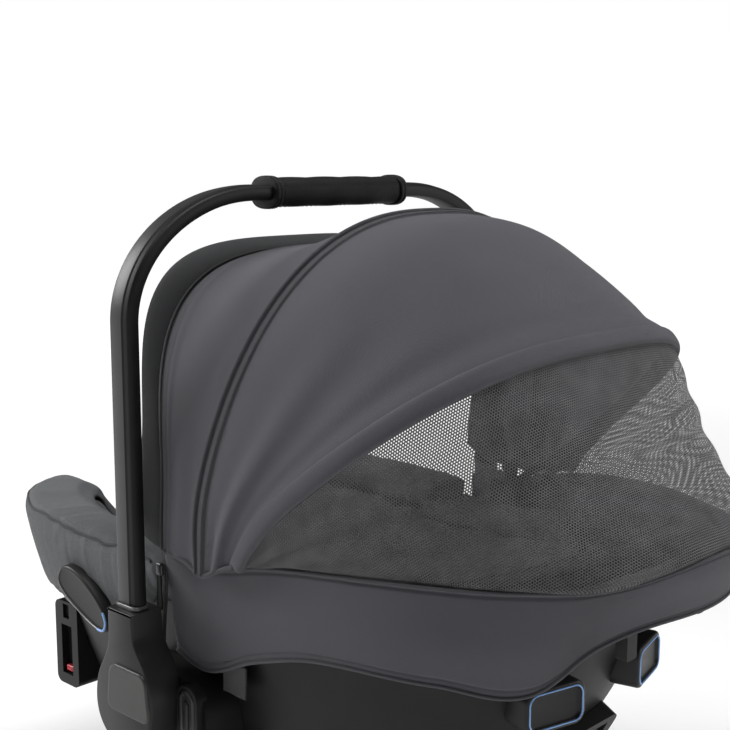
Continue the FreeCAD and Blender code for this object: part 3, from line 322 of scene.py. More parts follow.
# every vertex moved along its normal by a function of its place
def displaced(item, amount):
    spots = vertexArray(item.data)
    normals = np.zeros(spots.size, np.float32)
    item.data.vertex_normals.foreach_get("vector", normals)
    normals = normals.reshape(-1, 3)
    spots = spots + normals * amount(spots, normals)[:, None]
    item.data.vertices.foreach_set("co", spots.astype(np.float32).ravel())
    item.data.update()
    return item


# the mesh as its modifiers leave it takes their place
def bakedModifiers(item):
    graph = bpy.context.evaluated_depsgraph_get()
    mesh = bpy.data.meshes.new_from_object(item.evaluated_get(graph))
    item.modifiers.clear()
    item.data = mesh
    return item


print("tools ready")


# materials

# a shader node with its settings; an input is a value or another node's output
def addNode(tree, kind, inputs=None, **settings):
    node = tree.nodes.new("ShaderNode" + kind)
    for key, setting in settings.items():
        setattr(node, key, setting)
    for key, source in (inputs or {}).items():
        if isinstance(source, bpy.types.NodeSocket):
            tree.links.new(source, node.inputs[key])
        else:
            node.inputs[key].default_value = source
    return node


# a material with its sockets set, and the coordinates on which its textures run
def startMaterial(name, space, **sockets):
    material = bpy.data.materials.new(name)
    material.use_nodes = True
    tree = material.node_tree
    shader = tree.nodes["Principled BSDF"]
    for key, setting in sockets.items():
        shader.inputs[key.replace("_", " ")].default_value = setting
    return material, tree, shader, addNode(tree, "TexCoord").outputs[space]


# one operation on up to three values
def maths(tree, operation, first, second=0.0, third=0.0):
    return addNode(tree, "Math", {0: first, 1: second, 2: third}, operation=operation).outputs[0]


# cloudy noise from 0 to 1
def noise(tree, place, scale, detail):
    return addNode(tree, "TexNoise", {"Vector": place, "Scale": scale, "Detail": detail}).outputs["Fac"]


# the base colour runs from a dark to a light tone between two values of a shade
def coloured(tree, shader, shade, low, dark, high, light):
    ramp = addNode(tree, "ValToRGB", {"Fac": shade})
    for stop, position, tone in zip(ramp.color_ramp.elements, (low, high), (dark, light)):
        stop.position = position
        stop.color = (*tone, 1)
    tree.links.new(ramp.outputs["Color"], shader.inputs["Base Color"])


# the roughness runs between two values with a shade
def glossed(tree, shader, shade, low, high):
    gloss = addNode(tree, "MapRange", {"Value": shade, "To Min": low, "To Max": high})
    tree.links.new(gloss.outputs["Result"], shader.inputs["Roughness"])


# the sine or cosine of the distance along a direction
def wave(tree, operation, place, direction):
    along = addNode(tree, "VectorMath", {0: place, 1: direction}, operation="DOT_PRODUCT").outputs["Value"]
    return maths(tree, operation, along)


# fine relief from a height
def raised(tree, shader, height, distance):
    lift = addNode(tree, "Bump", {"Height": height, "Distance": distance, "Strength": 1.0})
    tree.links.new(lift.outputs["Normal"], shader.inputs["Normal"])


# two thread directions whose product is a weave; on a surface map they cross squarely
def threads(pitch, onSurface):
    pair = ((1, 0, 0), (0, 1, 0)) if onSurface else ((1, 1, 0.3), (-0.4, 1, -1))
    turns = 2 * math.pi / pitch
    return [tuple(turns * part for part in way) for way in pair]


# cloth: woven threads, flecks of lighter yarn and a slow drift of tone
def clothMaterial(name, dark, light, pitch, fleck, melange, onSurface=True, roughness=0.88, depth=0.00022):
    material, tree, shader, place = startMaterial(name, "UV" if onSurface else "Object", Roughness=roughness,
                                                  Sheen_Weight=0.18, Sheen_Roughness=0.45)
    warp, weft = (wave(tree, "SINE", place, way) for way in threads(pitch, onSurface))
    weave = maths(tree, "MULTIPLY", warp, weft)
    flecks = noise(tree, place, 1 / fleck, 3)
    drift = noise(tree, place, 14, 2)
    yarn = maths(tree, "MULTIPLY_ADD", flecks, melange, 0.5 - melange / 2)
    mixed = maths(tree, "MULTIPLY_ADD", weave, 0.10, yarn)
    mixed = maths(tree, "MULTIPLY_ADD", drift, 0.24, maths(tree, "SUBTRACT", mixed, 0.12))
    coloured(tree, shader, mixed, 0.2, dark, 0.8, light)
    raised(tree, shader, maths(tree, "MULTIPLY_ADD", flecks, 0.8, weave), depth)
    return material


# open mesh: three crossing waves make round holes on a triangle pattern, where the cloth is see-through
def meshMaterial(name, dark, light, pitch, openShare):
    material, tree, shader, place = startMaterial(name, "UV", Roughness=0.62, Sheen_Weight=0.08,
                                                  Sheen_Roughness=0.5)
    turns = 4 * math.pi / (math.sqrt(3) * pitch)
    edge = 0.35  # how softly a hole's edge fades
    total = 0.0
    for angle in (30, 90, 150):
        way = (turns * math.cos(math.radians(angle)), turns * math.sin(math.radians(angle)), 0)
        total = maths(tree, "ADD", wave(tree, "COSINE", place, way), total)
    solid = addNode(tree, "MapRange", {"Value": total, "From Min": openShare + edge,
                                       "From Max": openShare - edge})
    tree.links.new(solid.outputs["Result"], shader.inputs["Alpha"])
    shade = maths(tree, "MULTIPLY_ADD", total, -0.16, noise(tree, place, 60, 3))
    coloured(tree, shader, shade, 0.1, dark, 0.9, light)
    raised(tree, shader, total, -0.0003)
    return material


# moulded plastic: fine spark grain and faint cloudiness in its gloss
def plasticMaterial(name, dark, light, roughness, grain=0.0006, depth=0.00005, coat=0.0):
    material, tree, shader, place = startMaterial(name, "Object", Coat_Weight=coat, Coat_Roughness=0.25,
                                                  Specular_IOR_Level=0.24)
    cloud = noise(tree, place, 38, 4)
    spark = noise(tree, place, 1 / grain, 2)
    coloured(tree, shader, cloud, 0.3, dark, 0.7, light)
    glossed(tree, shader, cloud, roughness - 0.06, roughness + 0.08)
    raised(tree, shader, spark, depth)
    return material


# anodised or brushed metal: fine lines drawn along one axis
def metalMaterial(name, dark, light, roughness, metallic, stretch=(40, 40, 2500)):
    material, tree, shader, place = startMaterial(name, "Object", Metallic=metallic)
    drawn = addNode(tree, "Mapping", {"Vector": place, "Scale": stretch}).outputs["Vector"]
    lines = noise(tree, drawn, 1.0, 3)
    cloud = noise(tree, place, 24, 3)
    shade = maths(tree, "MULTIPLY_ADD", lines, 0.3, maths(tree, "MULTIPLY", cloud, 0.7))
    coloured(tree, shader, shade, 0.3, dark, 0.7, light)
    glossed(tree, shader, shade, roughness - 0.07, roughness + 0.09)
    raised(tree, shader, lines, 0.00002)
    return material


# leatherette: pebbles between creases
def leatherMaterial(name, dark, light, pebble=0.0013):
    material, tree, shader, place = startMaterial(name, "Object", Coat_Weight=0.02, Coat_Roughness=0.35,
                                                  Specular_IOR_Level=0.16)
    creases = addNode(tree, "TexVoronoi", {"Vector": place, "Scale": 1 / pebble},
                      feature="DISTANCE_TO_EDGE").outputs["Distance"]
    pebbles = addNode(tree, "MapRange", {"Value": creases, "From Max": 0.22}).outputs["Result"]
    cloud = noise(tree, place, 60, 3)
    shade = maths(tree, "MULTIPLY_ADD", pebbles, 0.5, maths(tree, "MULTIPLY", cloud, 0.5))
    coloured(tree, shader, shade, 0.2, dark, 0.8, light)
    glossed(tree, shader, pebbles, 0.62, 0.46)
    raised(tree, shader, pebbles, 0.00012)
    return material


# bead foam: swollen beads pressed together
def foamMaterial(name, dark, light, beadsPerMetre=260):
    material, tree, shader, place = startMaterial(name, "Object", Roughness=0.85)
    beads = addNode(tree, "TexVoronoi", {"Vector": place, "Scale": beadsPerMetre}).outputs["Distance"]
    coloured(tree, shader, beads, 0.0, light, 0.8, dark)
    raised(tree, shader, beads, -0.0004)
    return material


# each finish: how it is made, its dark and light tones, and its other values
fineWeave = {"pitch": 0.0008, "fleck": 0.0013, "melange": 0.35}
looseWeave = {"pitch": 0.0011, "fleck": 0.0018, "melange": 0.8, "onSurface": False, "depth": 0.0003}
recipes = {
    "canopyCloth": (clothMaterial, (0.060, 0.060, 0.072), (0.105, 0.105, 0.124), fineWeave),
    "brimCloth": (clothMaterial, (0.011, 0.012, 0.014), (0.021, 0.023, 0.026),
                  {"pitch": 0.0010, "fleck": 0.0015, "melange": 0.4}),
    "edgeCloth": (clothMaterial, (0.045, 0.045, 0.054), (0.085, 0.085, 0.10), fineWeave),
    "meshCloth": (meshMaterial, (0.036, 0.036, 0.038), (0.145, 0.145, 0.15),
                  {"pitch": 0.0020, "openShare": 0.66}),
    "seatCloth": (clothMaterial, (0.085, 0.090, 0.096), (0.165, 0.172, 0.180), looseWeave),
    "liningCloth": (clothMaterial, (0.055, 0.057, 0.062), (0.12, 0.125, 0.13), looseWeave),
    "webbing": (clothMaterial, (0.014, 0.014, 0.016), (0.045, 0.045, 0.050),
                {"pitch": 0.0016, "fleck": 0.0012, "melange": 0.3, "roughness": 0.6, "depth": 0.0004}),
    "thread": (clothMaterial, (0.012, 0.012, 0.014), (0.035, 0.035, 0.04),
               {"pitch": 0.0006, "fleck": 0.0008, "melange": 0.4, "onSurface": False, "roughness": 0.6}),
    "shellPlastic": (plasticMaterial, (0.006, 0.0058, 0.0056), (0.011, 0.0106, 0.0103), {"roughness": 0.46}),
    "hubPlastic": (plasticMaterial, (0.016, 0.015, 0.015), (0.024, 0.023, 0.023), {"roughness": 0.38}),
    "coverPlastic": (plasticMaterial, (0.035, 0.034, 0.033), (0.050, 0.048, 0.046),
                     {"roughness": 0.36, "coat": 0.15}),
    "buttonPlastic": (plasticMaterial, (0.022, 0.021, 0.021), (0.034, 0.033, 0.033),
                      {"roughness": 0.30, "coat": 0.2}),
    "bluePlastic": (plasticMaterial, (0.22, 0.42, 0.85), (0.34, 0.58, 0.98),
                    {"roughness": 0.25, "coat": 0.3}),
    "redPlastic": (plasticMaterial, (0.50, 0.015, 0.03), (0.66, 0.03, 0.05), {"roughness": 0.3, "coat": 0.3}),
    "rubber": (plasticMaterial, (0.012, 0.012, 0.012), (0.02, 0.02, 0.02),
               {"roughness": 0.75, "grain": 0.0009, "depth": 0.0001}),
    "handleMetal": (metalMaterial, (0.030, 0.029, 0.030), (0.052, 0.050, 0.051),
                    {"roughness": 0.42, "metallic": 0.45}),
    "handleInner": (plasticMaterial, (0.004, 0.004, 0.004), (0.008, 0.008, 0.008), {"roughness": 0.5}),
    "collarMetal": (metalMaterial, (0.10, 0.10, 0.10), (0.18, 0.18, 0.18),
                    {"roughness": 0.30, "metallic": 0.7, "stretch": (60, 60, 900)}),
    "steel": (metalMaterial, (0.38, 0.38, 0.40), (0.62, 0.62, 0.64),
              {"roughness": 0.30, "metallic": 1.0, "stretch": (2500, 60, 60)}),
    "zipMetal": (metalMaterial, (0.02, 0.02, 0.022), (0.07, 0.07, 0.075),
                 {"roughness": 0.30, "metallic": 0.8, "stretch": (200, 200, 200)}),
    "leather": (leatherMaterial, (0.004, 0.004, 0.0042), (0.011, 0.011, 0.0115), {}),
    "beadFoam": (foamMaterial, (0.02, 0.02, 0.022), (0.05, 0.05, 0.055), {}),
}
finishes = {name: make(name, dark, light, **values) for name, (make, dark, light, values) in recipes.items()}
print("materials made")


# a finished piece: its material, the body it rides on and the CAD nodes it stands for; its slot name is not
# used
def place(item, finish, body, slotName, *nodes):
    item.data.materials.clear()
    item.data.materials.append(finishes[finish])
    if body:
        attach(item, body)
    if nodes:
        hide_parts(*nodes)
    return item


# a CAD node that holds both sides is stood for by the left piece
def leftOnly(hand, node):
    return [node] if hand > 0 else []


# a thin rounded cord along a path
def addCord(name, path, halves, side, finish, body, slotName, count=10):
    return place(tubePiece(name, path, roundProfile(*halves, 2, count), side), finish, body, slotName)


# each seam: pitch, length and thickness of its stitches, and how far they stand off their line
seams = {"binding": (0.0042, 0.0032, 0.0007, 0.0001), "skirt": (0.0045, 0.0033, 0.0006, 0.0004),
         "lacing": (0.0048, 0.0036, 0.0011, 0.0002), "band": (0.0024, 0.0017, 0.0006, 0),
         "teeth": (0.0016, 0.0010, 0.0016, 0)}


# a row of stitches of one kind of seam
def addStitches(name, path, side, seam, body, slotName, finish="thread"):
    return place(stitchPiece(name, path, side, *seams[seam]), finish, body, slotName)


sides = {"left": 1, "right": -1}


# canopy: hoops fanned about the pivot; a hoop is its lean in degrees, half width, rise, squareness, the
# distance by which its foot turns away from the lean, and how far from the pivot it ends

hoops = {
    "brim": (-23.5, 0.205, 0.268, 3.6, -0.061, 0.0350), "front": (-18.6, 0.203, 0.247, 3.1, -0.027, 0.0190),
    "middle": (12.2, 0.206, 0.2725, 2.55, 0.012, 0.0110), "rear": (50.4, 0.206, 0.286, 3.0, 0.030, 0.0390),
    "meshFoot": (82, 0.193, 0.328, 2.2, 0.0, 0.0390), "meshEnd": (87, 0.192, 0.328, 2.2, 0.0, 0.0390),
}
canopy = {
    "footBlend": 0.045, "footSpread": 15, "cloth": 0.002, "columns": 220,
    "frontDip": -0.015, "frontFold": 0.0016, "frontGroove": 0.0010, "frontPull": 0.0012,
    "mainTension": 0.0022, "mainDraw": 0.0018, "footRoll": 0.0019,
    "meshMargin": 0.010, "meshOverlap": 0.004, "meshSlack": 0.0012, "meshTuck": 0.0085,
    "brimThick": 0.009, "bindingHalf": 0.0062, "hemHalf": 0.0075, "hemThick": 0.0085,
    "foldReach": 0.27, "foldShare": 0.96, "foldOut": 0.2,
}


# a hoop's points: x is the half width times a power of the cosine, the height a power of the sine; the hoop
# then leans towards the head, and its foot turns away near the pivot
def hoopPoint(lean, halfWidth, rise, squareness, foot, turn):
    reach = rise * power(np.sin(turn), 2 / squareness)
    angle = np.radians(lean)
    height = reach * np.cos(angle)
    blend = canopy["footBlend"] * (1 + canopy["footSpread"] * np.maximum(-foot, 0))
    away = foot * np.exp(-(height / blend) ** 2)
    x = halfWidth * power(np.cos(turn), 2 / squareness)
    return np.stack(np.broadcast_arrays(x, pivot[1] + reach * np.sin(angle) + away, pivot[2] + height), -1)


# a hoop between two others, swollen or drawn in
def mixedHoop(first, second, share, swell=0.0):
    a, b = np.array(hoops[first]), np.array(hoops[second])
    mixed = a + (b - a) * share
    mixed[2] += swell
    return mixed


# turns of a hoop that lie evenly along it, from the left foot to the right
def evenTurns(hoop, count):
    low = math.asin((hoop[5] / hoop[2]) ** (hoop[3] / 2))
    dense = np.linspace(low, math.pi - low, 900)
    run = runLength(hoopPoint(*hoop[:5], dense), 0)
    return np.interp(np.linspace(0, run[-1], count), run, dense)


# the same for each row of a surface through several hoops
def fanTurns(table, shares, share, count):
    rows = np.stack([curveThrough(share, shares, [hoop[k] for hoop in table]) for k in range(6)], -1)
    rows[:, 5] = table[0][5] + (table[-1][5] - table[0][5]) * share ** 2
    return np.stack([evenTurns(row, count) for row in rows])


# a surface through several hoops; share runs across it, sink is a depth inside it
def fan(table, shares, share, turns, sink=0.0):
    columns = [curveThrough(share, shares, [hoop[k] for hoop in table]) for k in range(5)]
    return hoopPoint(columns[0], columns[1] - sink, columns[2] - sink, columns[3], columns[4], turns)


# how far up its hoop a column of a panel is: 0 at the feet and 1 at the top
def upward(turns):
    return np.sin(turns) ** 2


# the way across a hoop, square to its plane
def bowSide(name):
    angle = math.radians(hoops[name][0])
    return (0, math.cos(angle), -math.sin(angle))


# the flat cut of a cloth grid: its longest width and length, and its area
def flatCut(points):
    size = [float(runLength(points, axis).max()) for axis in (1, 0)]
    patches = np.cross(np.diff(points, axis=0)[:, :-1], np.diff(points, axis=1)[:-1])
    area = float(np.linalg.norm(patches, axis=-1).sum())
    return {"flat": tuple(size), "area": min(area, size[0] * size[1])}


# a cloth panel through several hoops, lifted along its normals; with its flat cut
def addPanel(name, table, shares, rows, lift, span=(0.0, 1.0)):
    share = np.linspace(*span, rows)[:, None]
    turns = fanTurns(table, shares, share[:, 0], canopy["columns"])
    points = fan(table, shares, share, turns)
    points = points + gridNormals(points) * lift(share, turns)[..., None]
    item = modified(gridPiece(name, points), "SOLIDIFY", thickness=canopy["cloth"], offset=-1.0)
    return item, flatCut(points)


# the panel between the brim and the middle binding dips between its bows
def addFrontPanel():
    table = [mixedHoop("front", "middle", 0), mixedHoop("front", "middle", 0.5, canopy["frontDip"]),
             mixedHoop("front", "middle", 1)]

    def lift(share, turns):
        low = 1 - upward(turns)
        fold = (canopy["frontFold"] * bump(share, 0.13, 0.035)
                - canopy["frontGroove"] * bump(share, 0.085, 0.02))
        pull = canopy["frontPull"] * np.sin(9 * share + 5 * np.cos(turns)) * low * share * (1 - share) * 4
        return fold * (0.35 + 0.65 * low) + pull

    item, cutting = addPanel("canopy_front_panel", table, (0, 0.5, 1), 70, lift, (-0.01, 0.99))
    place(item, "canopyCloth", None, "canopy_fabric", "front_panel")
    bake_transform(item)


# the main panel swells behind the middle binding and is drawn in above the rear hem
def addMainPanel():
    swells = {0: 0, 0.22: 0.003, 0.5: -0.003, 0.8: -0.006, 1: 0.0005}
    table = [mixedHoop("middle", "rear", share, swell) for share, swell in swells.items()]

    def lift(share, turns):
        low = 1 - upward(turns)
        ripple = np.sin(15 * share - 7 * np.abs(np.cos(turns)))
        return (canopy["mainTension"] * ripple * low * bump(share, 0.62, 0.26)
                - canopy["mainDraw"] * bump(share, 0.86, 0.06))

    item, cutting = addPanel("canopy_main_panel", table, tuple(swells), 110, lift)
    place(item, "canopyCloth", None, "canopy_fabric", "main_panel")
    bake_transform(item)


# height of the line where the mesh meets the skirt, against the place along the seat
def skirtLine(y):
    return curveThrough(y, (0.0, 0.022, 0.050, 0.078, 0.110, 0.145, 0.180, 0.231, 0.300, 0.351, 0.385),
                        (0.307, 0.3025, 0.2985, 0.3015, 0.3095, 0.3155, 0.3185, 0.321, 0.322, 0.326, 0.342))


# the mesh window is pulled taut between the rear hem and the skirt; its lower margin is tucked in the skirt
def addMeshWindow():
    shares = (0, 0.38, 0.72, 0.92, 1.0)
    table = [mixedHoop("rear", "meshFoot", 0, -0.004), mixedHoop("rear", "meshFoot", 0.38, -0.020),
             mixedHoop("rear", "meshFoot", 0.72, -0.018), np.array(hoops["meshFoot"]),
             np.array(hoops["meshEnd"])]
    turns = evenTurns(hoops["rear"], canopy["columns"])[None]
    trial = np.linspace(0, 1, 120)[:, None]
    spots = fan(table, shares, trial, turns)
    over = spots[..., 2] - skirtLine(spots[..., 1]) + canopy["meshMargin"]
    first = np.clip(np.argmax(over < 0, axis=0), 1, None)
    column = np.arange(over.shape[1])
    before, after = over[first - 1, column], over[first, column]
    reach = trial[first - 1, 0] + (trial[1, 0] - trial[0, 0]) * np.clip(before / (before - after), 0, 1)
    reach = np.where(np.any(over < 0, axis=0), reach, 1.0)
    share = np.linspace(0, 1, 110)[:, None] * reach[None]
    points = fan(table, shares, share, turns)
    under = softStep(skirtLine(points[..., 1]) + canopy["meshOverlap"] - points[..., 2], 0, 0.009)
    slack = canopy["meshSlack"] * np.sin(26 * share + 6 * np.cos(turns))
    slack = slack * np.sin(np.pi * np.clip(share, 0, 1))
    points = points + gridNormals(points) * (slack - canopy["meshTuck"] * under)[..., None]
    item = gridPiece("canopy_mesh_window", points)
    place(item, "meshCloth", None, "mesh_fabric", "mesh_window")
    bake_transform(item)


# the brim: a soft padded band whose section is a rounded lens between the front and brim hoops
def addBrim():
    table = [np.array(hoops["front"]), np.array(hoops["brim"])]
    around = np.linspace(0, 2 * np.pi, 40, endpoint=False)[None]
    share = 0.5 + 0.5 * power(np.cos(around), 0.75)
    turns = fanTurns(table, (0, 1), share[0], canopy["columns"]).T
    depth = canopy["brimThick"] * (0.5 - 0.5 * power(np.sin(around), 0.8))
    foot = np.linspace(0, 1, canopy["columns"])[:, None]
    ends = softStep(np.minimum(foot, 1 - foot), 0, 0.03)
    depth = canopy["brimThick"] / 2 + (depth - canopy["brimThick"] / 2) * (0.3 + 0.7 * ends)
    points = fan(table, (0, 1), share, turns, depth)
    item = outward(gridPiece("canopy_brim", points, wrap=True, caps=True))
    place(item, "brimCloth", "canopy_front", "rim_fabric", "front_rim")
    seamShare = 0.06
    turns = evenTurns(mixedHoop("front", "brim", seamShare), 400)
    path = fan(table, (0, 1), np.array(seamShare), turns, -0.0004)
    addCord("brim_seam", spaced(path, 260), (0.0011, 0.0008), bowSide("front"), "thread", "canopy_front",
            "rim_fabric", 16)


# a hoop's own line, lifted; and 1 along it, fading to 0 at its two feet
def hoopPath(name, lift, fade):
    hoop = np.array(hoops[name])
    path = hoopPoint(hoop[0], hoop[1] + lift, hoop[2] + lift, hoop[3], hoop[4], evenTurns(hoop, 300))
    ends = (runLength(path, 0), runLength(path[::-1], 0)[::-1])
    return path, softStep(ends[0], 0, fade) * softStep(ends[1], 0, fade)


# the middle binding: a piped front edge, a groove and a flat tape with a row of stitches at each edge
def addMiddleBinding():
    half = canopy["bindingHalf"]
    piping = np.radians(np.linspace(200, -20, 9))
    pipe = np.stack([-half + 0.0016 + 0.0017 * np.cos(piping), 0.0006 + 0.0017 * np.sin(piping)], -1)
    tape = [(-half + 0.0036, -0.0008), (-half + 0.0052, -0.0008), (-half + 0.0058, 0.0008), (-0.0002, 0.0013),
            (half - 0.0022, 0.0013), (half - 0.0008, 0.0008), (half, -0.0004), (half, -0.0022),
            (-half, -0.0022)]
    profile = np.concatenate([pipe, tape])
    path, full = hoopPath("middle", 0.0008, 0.03)
    scale = 0.75 + 0.25 * full
    item = sharpen(tubePiece("canopy_middle_binding", path, profile, bowSide("middle"), scale), 50)
    place(item, "edgeCloth", "canopy_middle", "canopy_fabric", "middle_binding")
    for name, side in (("front", -0.0004), ("rear", half - 0.0016)):
        row = carried(path, [(side, 0.0014)], bowSide("middle"), scale)[:, 0]
        addStitches(f"binding_stitches_{name}", row, bowSide("middle"), "binding", "canopy_middle",
                    "canopy_fabric")


# the rear hem: cloth rolled over its bow, with a tight edge where the mesh comes out from under it
def addRearHem():
    path, full = hoopPath("rear", -0.0026, 0.05)
    scale = 0.8 + 0.2 * full
    profile = roundProfile(canopy["hemHalf"], canopy["hemThick"] / 2, 2.5, 28)
    item = tubePiece("canopy_rear_hem", path, profile, bowSide("rear"), scale)
    place(item, "canopyCloth", "canopy_rear", "canopy_fabric", "rear_hem")
    edge = carried(path, [(canopy["hemHalf"] * 0.82, -0.0030)], bowSide("rear"), scale)[:, 0]
    addCord("rear_hem_edge", edge, (0.0011, 0.0011), bowSide("rear"), "edgeCloth", "canopy_rear",
            "canopy_fabric", 16)


# the short rolled edge that closes a panel's foot, from one bow to the next
def addPanelFeet():
    panels = {"front": (("front", "middle"), ("canopy_middle", "canopy_front")),
              "main": (("middle", "rear"), ("canopy_rear", "canopy_middle"))}
    share = np.linspace(0, 1, 40)
    halves = (canopy["footRoll"], canopy["footRoll"])
    for panel, (ends, bodies) in panels.items():
        table = [mixedHoop(*ends, 0), mixedHoop(*ends, 1)]
        turns = fanTurns(table, (0, 1), share, 3)
        for name, column in (("left", 0), ("right", -1)):
            path = fan(table, (0, 1), share, turns[:, column], 0.0006)
            item = addCord(f"{panel}_panel_foot_{name}", path, halves, (1, 0, 0), "edgeCloth", None,
                           "canopy_fabric", 16)
            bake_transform(item)


addFrontPanel()
addMainPanel()
addMeshWindow()
addBrim()
addMiddleBinding()
addRearHem()
addPanelFeet()
print("canopy made")


# skirt: an oval whose half width and head reach follow the height, from its hem to the mesh line

skirt = {"halfWidth": 0.192, "foot": 0.322, "reach": 0.378, "middle": 0.110, "frontEdge": 0.0086,
         "wall": 0.002,
         "shares": (0.1897, 0.2450, 0.2898, 0.3278, 0.3588), "widths": (0.94, 0.95, 0.99, 1.0, 1.0),
         "reaches": (0.86, 0.90, 0.955, 0.995, 1.0), "squareness": (4.0, 2.0), "hem": 0.0016, "line": 0.0013,
         "fold": 0.0035, "sag": 0.0016, "topRoll": 0.0012, "hemRoll": 0.0009, "shoulder": 0.0034,
         "topGap": 0.0003, "stitchRow": 7}


# height of the skirt's lower edge against the place along the seat
def hemLine(y):
    return curveThrough(y, (0.0, 0.041, 0.100, 0.150, 0.245, 0.297, 0.330, 0.352, 0.385),
                        (0.222, 0.212, 0.234, 0.249, 0.249, 0.246, 0.280, 0.293, 0.294))


# the oval: x is the half width times a power of the cosine, y the reach times a power of the sine; ahead of
# the oval's middle it is boxier
def skirtPoint(height, turn):
    wide = skirt["halfWidth"] * curveThrough(height, skirt["shares"], skirt["widths"])
    head = skirt["reach"] * curveThrough(height, skirt["shares"], skirt["reaches"])
    rear = np.sin(turn) > 0
    reach = np.where(rear, head - skirt["middle"], skirt["foot"] + skirt["middle"])
    squareness = np.where(rear, skirt["squareness"][1], skirt["squareness"][0])
    return np.stack([wide * power(np.cos(turn), 2 / squareness),
                     skirt["middle"] + reach * power(np.sin(turn), 2 / squareness), height], -1)


# where a side line crosses the oval: height and place are settled in a few rounds
def skirtEdge(line, turn):
    height = np.full(turn.shape, 0.29)
    for settle in range(12):
        height = line(skirtPoint(height, turn)[..., 1])
    return height


# turns from the front edge on the left, round the head, to the front edge on the right
def skirtTurns(count):
    dense = np.linspace(-0.5, np.pi + 0.5, 4000)
    midHeight = 0.26
    dense = dense[skirtPoint(np.full(dense.shape, midHeight), dense)[:, 1] > skirt["frontEdge"]]
    run = runLength(skirtPoint(np.full(dense.shape, midHeight), dense), 0)
    return np.interp(np.linspace(0, run[-1], count), run, dense)


# the cloth folds and bulges over the side housings, sags behind them and rolls in at its two edges
def skirtLift(points, share):
    y = points[..., 1]
    fold = skirt["fold"] * bump(y, 0.040, 0.030) * np.sin(2.4 * np.pi * share + 30 * y)
    fold = fold * share * (1 - share) * 4
    shoulder = skirt["shoulder"] * bump(y, 0.034, 0.034) * bump(share, 0.40, 0.26)
    sag = skirt["sag"] * np.sin(23 * y + 2.0) * bump(share, 0.35, 0.3) * softStep(y, 0.06, 0.12)
    return (fold + shoulder + sag - skirt["topRoll"] * bump(share, 0.965, 0.018)
            - skirt["hemRoll"] * bump(share, 0.075, 0.012))


# the skirt cloth between its hem and its upper line, with piping on both and a row of stitches
def addSkirt():
    turn = skirtTurns(300)
    low, high = skirtEdge(hemLine, turn), skirtEdge(skirtLine, turn)
    share = np.linspace(0, 1, 90)[:, None]
    height = low + (high - skirt["topGap"] - low) * share
    points = skirtPoint(height, np.broadcast_to(turn, height.shape))
    normals = gridNormals(points)
    outside = np.sign(np.sum(normals * (points - (0, skirt["middle"], 0.27)), -1))
    points = points + normals * (skirtLift(points, share) * outside)[..., None]
    inwards = -1.0 if normals[45, 150, 1] > 0 else 1.0  # this normal is at the middle of the head end
    item = gridPiece("canopy_skirt_cloth", points)
    modified(item, "SOLIDIFY", thickness=skirt["wall"], offset=inwards)
    place(item, "canopyCloth", "shell", "canopy_fabric", "canopy_skirt")
    for name, row in (("hem", points[0]), ("line", points[-1])):
        addCord(f"skirt_{name}_piping", spaced(row, 360), [skirt[name]] * 2, (0, 0, 1), "edgeCloth", "shell",
                "canopy_fabric")
    row = spaced(points[skirt["stitchRow"]], 900)
    away = unit((row - (0, skirt["middle"], 0)) * (1, 1, 0))
    addStitches("skirt_stitches", row, np.cross(away, unit(np.gradient(row, axis=0))), "skirt", "shell",
                "canopy_fabric")


addSkirt()
print("skirt made")


# carry handle: legs, quarter ellipses and a level top; the section has a crowned outer face with a fine step

handle = {"span": 0.2155, "collar": 0.262, "top": 0.570, "across": 0.123, "up": 0.094, "halfDeep": 0.012,
          "halfWide": 0.0065, "flat": 0.0098, "crown": 0.0013, "stepPlace": 0.0052, "step": 0.0005,
          "stepHalf": 0.0003, "edgeRound": (0.0022, 0.0052), "edgeDrop": 0.0002,
          "innerFace": [(-0.006, -0.0063), (0.0, -0.0065), (0.006, -0.0063)],
          "collarHalves": (0.0130, 0.0074), "collarRings": (-0.0020, -0.0016, 0.0012, 0.0016),
          "collarScales": (0.96, 1.0, 1.0, 0.96)}
grip = {"half": 0.069, "halves": (0.0155, 0.0120), "bandLength": 0.008, "bandHalves": (0.0163, 0.0128),
        "seams": {"inner": 0.0022, "outer": 0.0058}, "seamHalves": (0.01665, 0.01315),
        "lacingDrop": 0.01185, "gap": 0.0002, "endRound": 0.0006, "endShare": 0.9, "grain": 0.0003}
acrossSeat = (1.0, 0.0, 0.0)
alongSeat = (0.0, 1.0, 0.0)
straightUp = (0.0, 0.0, 1.0)


# the tube's middle line, from the left collar over the top to the right one
def handlePath():
    turn = np.linspace(0, np.pi / 2, 60)
    x = handle["span"] - handle["across"] * (1 - np.cos(turn))
    z = handle["top"] - handle["up"] * (1 - np.sin(turn))
    leg = np.linspace(handle["collar"], z[0], 50, endpoint=False)
    half = np.stack([np.concatenate([np.full(50, handle["span"]), x]), np.zeros(110),
                     np.concatenate([leg, z])], -1)
    level = np.linspace(x[-1], -x[-1], 40)[1:-1]
    flat = np.stack([level, np.zeros(38), np.full(38, handle["top"])], -1)
    return np.concatenate([half, flat, half[::-1] * (-1, 1, 1)])


# (side, out): the crowned outer face with its step, a round edge, the inner face and the other round edge
def handleSection():
    side = np.linspace(-handle["flat"], handle["flat"], 30)
    crown = handle["halfWide"] - handle["crown"] * (side / handle["halfDeep"]) ** 2
    crown = crown - handle["step"] * softStep(side, handle["stepPlace"] - handle["stepHalf"],
                                              handle["stepPlace"] + handle["stepHalf"])
    outer = np.stack([side[::-1], crown[::-1]], -1)
    turn = np.radians(np.linspace(100, 260, 12))
    edge = np.stack([handle["edgeRound"][0] * np.cos(turn) - handle["flat"],
                     handle["edgeRound"][1] * np.sin(turn) - handle["edgeDrop"]], -1)
    return np.concatenate([outer, edge, handle["innerFace"], (edge * (-1, 1))[::-1]])


